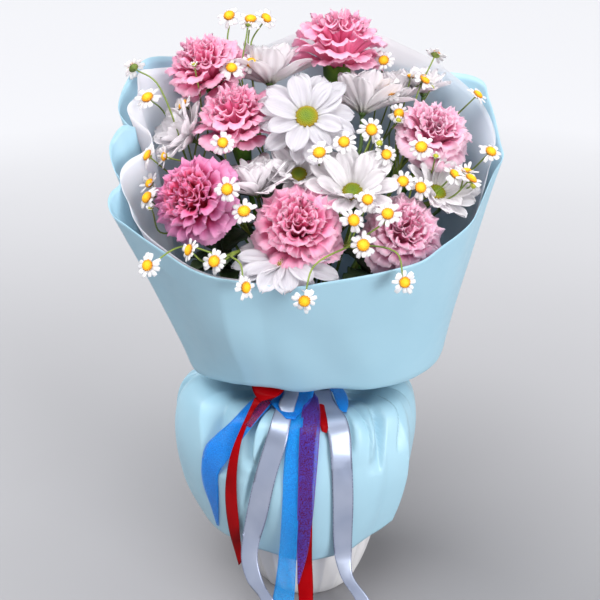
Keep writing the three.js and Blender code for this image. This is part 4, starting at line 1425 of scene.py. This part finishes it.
def daisy_petal(draw, length, width, root, rise, droop):
    """A petal that leaves the eye, arches over and ends in a round tip, with two grooves."""
    twist = draw.uniform(-0.3, 0.3)
    bend = draw.uniform(-0.14, 0.14)
    cup = draw.uniform(0.15, 0.4)
    seed = draw.uniform(0, 100)

    def place_at(across, along):
        u = across * 2 - 1
        if along < 0.62:
            outline = 0.30 + 0.70 * math.sin(along / 0.62 * math.pi / 2)
        else:
            outline = math.sqrt(max(0, 1 - ((along - 0.62) / 0.385) ** 2.6))
        side = u * width / 2 * outline
        v = along - 0.03 * math.cos(u * math.pi * 1.5) * along ** 6
        x = root + length * v * math.cos(rise) + length * droop * v * v * math.sin(rise)
        z = length * (math.sin(rise) * v - droop * v * v * math.cos(rise))
        groove = 0.04 * width * math.cos(u * math.pi * 2.6)
        curl = cup * abs(side) * abs(u)
        ripple = 0.04 * length * noise.noise(Vector((u * 1.5, v * 3, seed)))
        lift = groove + curl + ripple + twist * side * v
        y = side + bend * length * v * v
        return Vector((x - lift * math.sin(rise), y, z + lift * math.cos(rise)))

    return spread(10, 12, place_at, PETAL)


def make_eye(radius, height, count, floret):
    """A dome packed with florets in spirals. Tone runs from the middle to the rim."""
    profile = [(0, -height * 0.3), (radius * 0.8, -height * 0.25), (radius, 0)]
    for step in range(1, 7):
        angle = step / 6 * math.pi / 2
        profile.append((radius * math.cos(angle), height * math.sin(angle)))
    mesh = turned(profile, steps=20)
    tone = mesh.verts.layers.float.new("tone")
    for vertex in mesh.verts:
        vertex[tone] = vertex.co.xy.length / radius
    ball = bmesh.new()
    bmesh.ops.create_icosphere(ball, subdivisions=1, radius=floret)
    bmesh.ops.scale(ball, vec=(1, 1, 1.5), verts=ball.verts[:])
    grain = as_part(ball)
    for i in range(count):
        share = math.sqrt((i + 0.5) / count)
        tilt = share * math.radians(80)
        round_it = polar(1, i * SPIRAL)
        looks = round_it * math.sin(tilt) + Vector((0, 0, math.cos(tilt)))
        at = round_it * (radius * math.sin(tilt)) + Vector((0, 0, height * math.cos(tilt)))
        gather(mesh, grain, seated(at, looks) @ Matrix.Scale(0.7 + 0.6 * share, 4), tone=share)
    return mesh


def make_daisy(head, draw, eye):
    mesh = bmesh.new()
    radius = head["radius"]
    big = 0.72 + 0.28 * (radius - mm(25)) / mm(11)  # the size of its eye goes with its own
    shut = head["form"] == "cup"
    root = mm(2.4) if shut else DAISY_EYE * big * 0.7
    for count, reach, rise, droop in DAISY_FORMS[head["form"]]:
        start = draw.uniform(0, TAU)
        for i in range(count):
            length = (radius - root) * reach * draw.uniform(0.9, 1.06)
            width = radius * (0.5 if shut else 0.44) * draw.uniform(0.88, 1.12)
            lift = rise + draw.uniform(-0.14, 0.14)
            hang = droop + draw.uniform(-0.08, 0.08)
            petal = daisy_petal(draw, length, width, root, lift, hang)
            turn = start + TAU * (i + draw.uniform(-0.2, 0.2)) / count
            gather(mesh, as_part(petal), Matrix.Rotation(turn, 4, "Z"))
    rise = mm(4.5) if shut else mm(1)
    size = Matrix.Scale(big * (0.4 if shut else 1), 4)
    gather(mesh, eye, Matrix.Translation((0, 0, rise)) @ size, finish=1)
    wide = root + mm(1)
    outline = [
        (0, -mm(3.2)), (mm(2), -mm(3)), (wide, -mm(0.2)), (wide * 0.8, mm(0.4)), (0, mm(0.8))]
    under = turned(outline, steps=16)
    gather(mesh, as_part(under), finish=2)
    bmesh.ops.transform(mesh, matrix=seated(head["at"], head["looks"]), verts=mesh.verts[:])
    return mesh


def white_petal_finish(name, bright, shaded, root):
    finish = Finish(name)
    where = finish.on_sheet()
    veins = finish.noise(1.0, 2.0, finish.stretched(where, (14, 1.2, 1)))
    along = finish.axis(where, 1)
    shade = finish.mix(finish.between(veins, 0.4, 0.72), bright, shaded)
    shade = finish.mix(finish.between(along, 0.25, 0.0) * 0.5, shade, root)
    return finish.surface(
        glow=0.5, glow_colour=colour(255, 252, 253), Base_Color=shade,
        Roughness=finish.between(veins, -0.8, 1.8), Normal=finish.bump(veins, 0.3, 0.0004))


def eye_finish(name, stops):
    finish = Finish(name)
    speck = finish.noise(700.0)
    shade = finish.ramp(finish.tone() + (speck - 0.5) * 0.35, stops)
    return finish.surface(Base_Color=shade, Roughness=0.6, Normal=finish.bump(speck, 0.4, 0.0004))


# The cups and half-open flowers are painted a brighter white and the open ones a greyer copy: lit
# and shaded copies, painted to make up for how the light falls on them.
DAISY_WHITE = white_petal_finish(
    "daisy_white", colour(251, 249, 251), colour(243, 239, 244), colour(218, 222, 182))
DIMMED_OPEN_WHITE = white_petal_finish(  # painted greyer, as the open flowers lie in the light
    "open_daisy_dimmed_white", colour(226, 225, 229), colour(206, 202, 214), colour(206, 212, 170))
GREEN_EYE = eye_finish("green_eye", [
    (0.0, colour(96, 124, 16)), (0.5, colour(128, 146, 14)), (0.82, colour(172, 148, 18)),
    (1.0, colour(140, 104, 14))])


def make_daisies():
    draw = random.Random(11)
    eye = as_part(make_eye(DAISY_EYE, height=mm(3.6), count=170, floret=mm(0.6)))
    heads = [head for spray in DAISY_SPRAYS for head in spray["heads"]]
    for i, head in enumerate(heads):
        finishes = [DIMMED_OPEN_WHITE if head["form"] == "open" else DAISY_WHITE, GREEN_EYE, DAISY_GREEN]
        mesh = make_daisy(head, draw, eye)
        piece(mesh, f"daisy_{i + 1}", finishes, "daisy_petal", [f"daisy_head_{i + 1}"])


make_daisies()

# ---------------------------------------------------------------- chamomile
# Thin branching sprays with small flowers: a dozen short white rays round a domed yellow eye, on
# a green receptacle. Each spray is one piece with its main stem, its twigs, its heads and buds.
CHAMOMILE_RADIUS = mm(10.5)
CHAMOMILE_EYE = mm(4.2)
CHAMOMILE_STEM = mm(1.2)
CHAMOMILE_TWIG = (mm(0.85), mm(0.6))
CHAMOMILE_SEAT = mm(2.4)
HEADS_MADE = {"open": 8, "side": 3, "bud": 3}  # how many different ones each kind is drawn from


def make_ray(length, width, tilt, root):
    """A short flat petal that narrows at its tip."""
    def place_at(across, along):
        u = across * 2 - 1
        half = width / 2 * (0.55 + 0.45 * math.sin(along * 2.2)) * (1 if along < 0.9 else 0.72)
        x = root + length * along * math.cos(tilt)
        z = length * (math.sin(tilt) * along - 0.15 * along * along) - mm(0.35) * u * u
        return Vector((x, u * half, z))

    return as_part(spread(3, 4, place_at, PETAL))


def chamomile_head(draw, eye, receptacle, kind):
    """A head that looks up its z axis: open, half shut and seen from the side, or in bud."""
    mesh = bmesh.new()
    count, long, wide, low, high, scale = {
        "open": (12, 1.0, 3.9, -0.4, 0.4, 1.0),
        "side": (11, 1.0, 2.4, 0.3, 1.1, 0.8),
        "bud": (9, 0.5, 1.8, 0.7, 1.35, 0.55),
    }[kind]
    count += draw.choice((-1, 0, 1))
    for i in range(count):
        if draw.random() < 0.07:
            continue
        length = (CHAMOMILE_RADIUS - mm(3.2)) * long * draw.uniform(0.72, 1.1)
        width = mm(wide) * draw.uniform(0.8, 1.15)
        ray = make_ray(length, width, draw.uniform(low, high), CHAMOMILE_EYE * scale * 0.75)
        turn = TAU * (i + draw.uniform(-0.3, 0.3)) / count
        gather(mesh, ray, Matrix.Rotation(turn, 4, "Z"), finish=1)
    gather(mesh, eye, Matrix.Scale(scale, 4), finish=3 if kind == "bud" else 2)
    gather(mesh, receptacle, Matrix.Scale(scale, 4), finish=0)
    return as_part(mesh)


CHAMOMILE_WHITE = white_petal_finish(
    "chamomile_white", colour(252, 252, 250), colour(232, 232, 238), colour(236, 236, 214))
# Deeper orange towards the rim: partly the outer florets' own colour, partly painted shade where
# the dome turns down to the rays.
YELLOW_EYE = eye_finish("yellow_eye", [
    (0.0, colour(248, 204, 24)), (0.62, colour(244, 190, 14)), (0.85, colour(222, 146, 8)),
    (1.0, colour(160, 96, 8))])
BUD_EYE = eye_finish("bud_eye", [(0.0, colour(206, 200, 60)), (1.0, colour(150, 160, 44))])


def make_chamomile():
    draw = random.Random(23)
    eye = as_part(make_eye(CHAMOMILE_EYE, height=mm(2.5), count=70, floret=mm(0.48)))
    outline = [(0, -mm(3.6)), (mm(1.2), -mm(3.2)), (mm(4.3), -mm(0.9)), (mm(4.0), -mm(0.3)), (0, 0)]
    receptacle = as_part(turned(outline, steps=14))
    heads = {
        kind: [chamomile_head(draw, eye, receptacle, kind) for _ in range(count)]
        for kind, count in HEADS_MADE.items()}
    for i, (spray, stem) in enumerate(zip(CHAMOMILE_SPRAYS, chamomile_stems)):
        flowers = [(head, draw.choice(heads["open"])) for head in spray]
        for number, place, looks, kind in CHAMOMILE_EXTRAS:
            if number == i:
                flowers.append((head_at(place, looks), draw.choice(heads[kind])))
        twigs = [twig_line(stem, head, CHAMOMILE_TWIG, CHAMOMILE_SEAT) for head, _ in flowers]
        mesh = rods([stem_line(stem, CHAMOMILE_STEM), *twigs])
        for head, part in flowers:
            lean = Vector((
                draw.uniform(-0.3, 0.3), draw.uniform(-0.25, 0.25), draw.uniform(-0.2, 0.3)))
            looks = Vector(head["looks"]) + lean
            place = seated(head["at"], looks, draw.uniform(0, TAU))
            place = place @ Matrix.Scale(draw.uniform(0.86, 1.04), 4)
            gather(mesh, part, place)
        finishes = [CHAMOMILE_GREEN, CHAMOMILE_WHITE, YELLOW_EYE, BUD_EYE]
        piece(mesh, f"chamomile_{i + 1}", finishes, "chamomile_flower",
              [f"chamomile_spray_{i + 1}"])


make_chamomile()

bpy.context.view_layer.update()
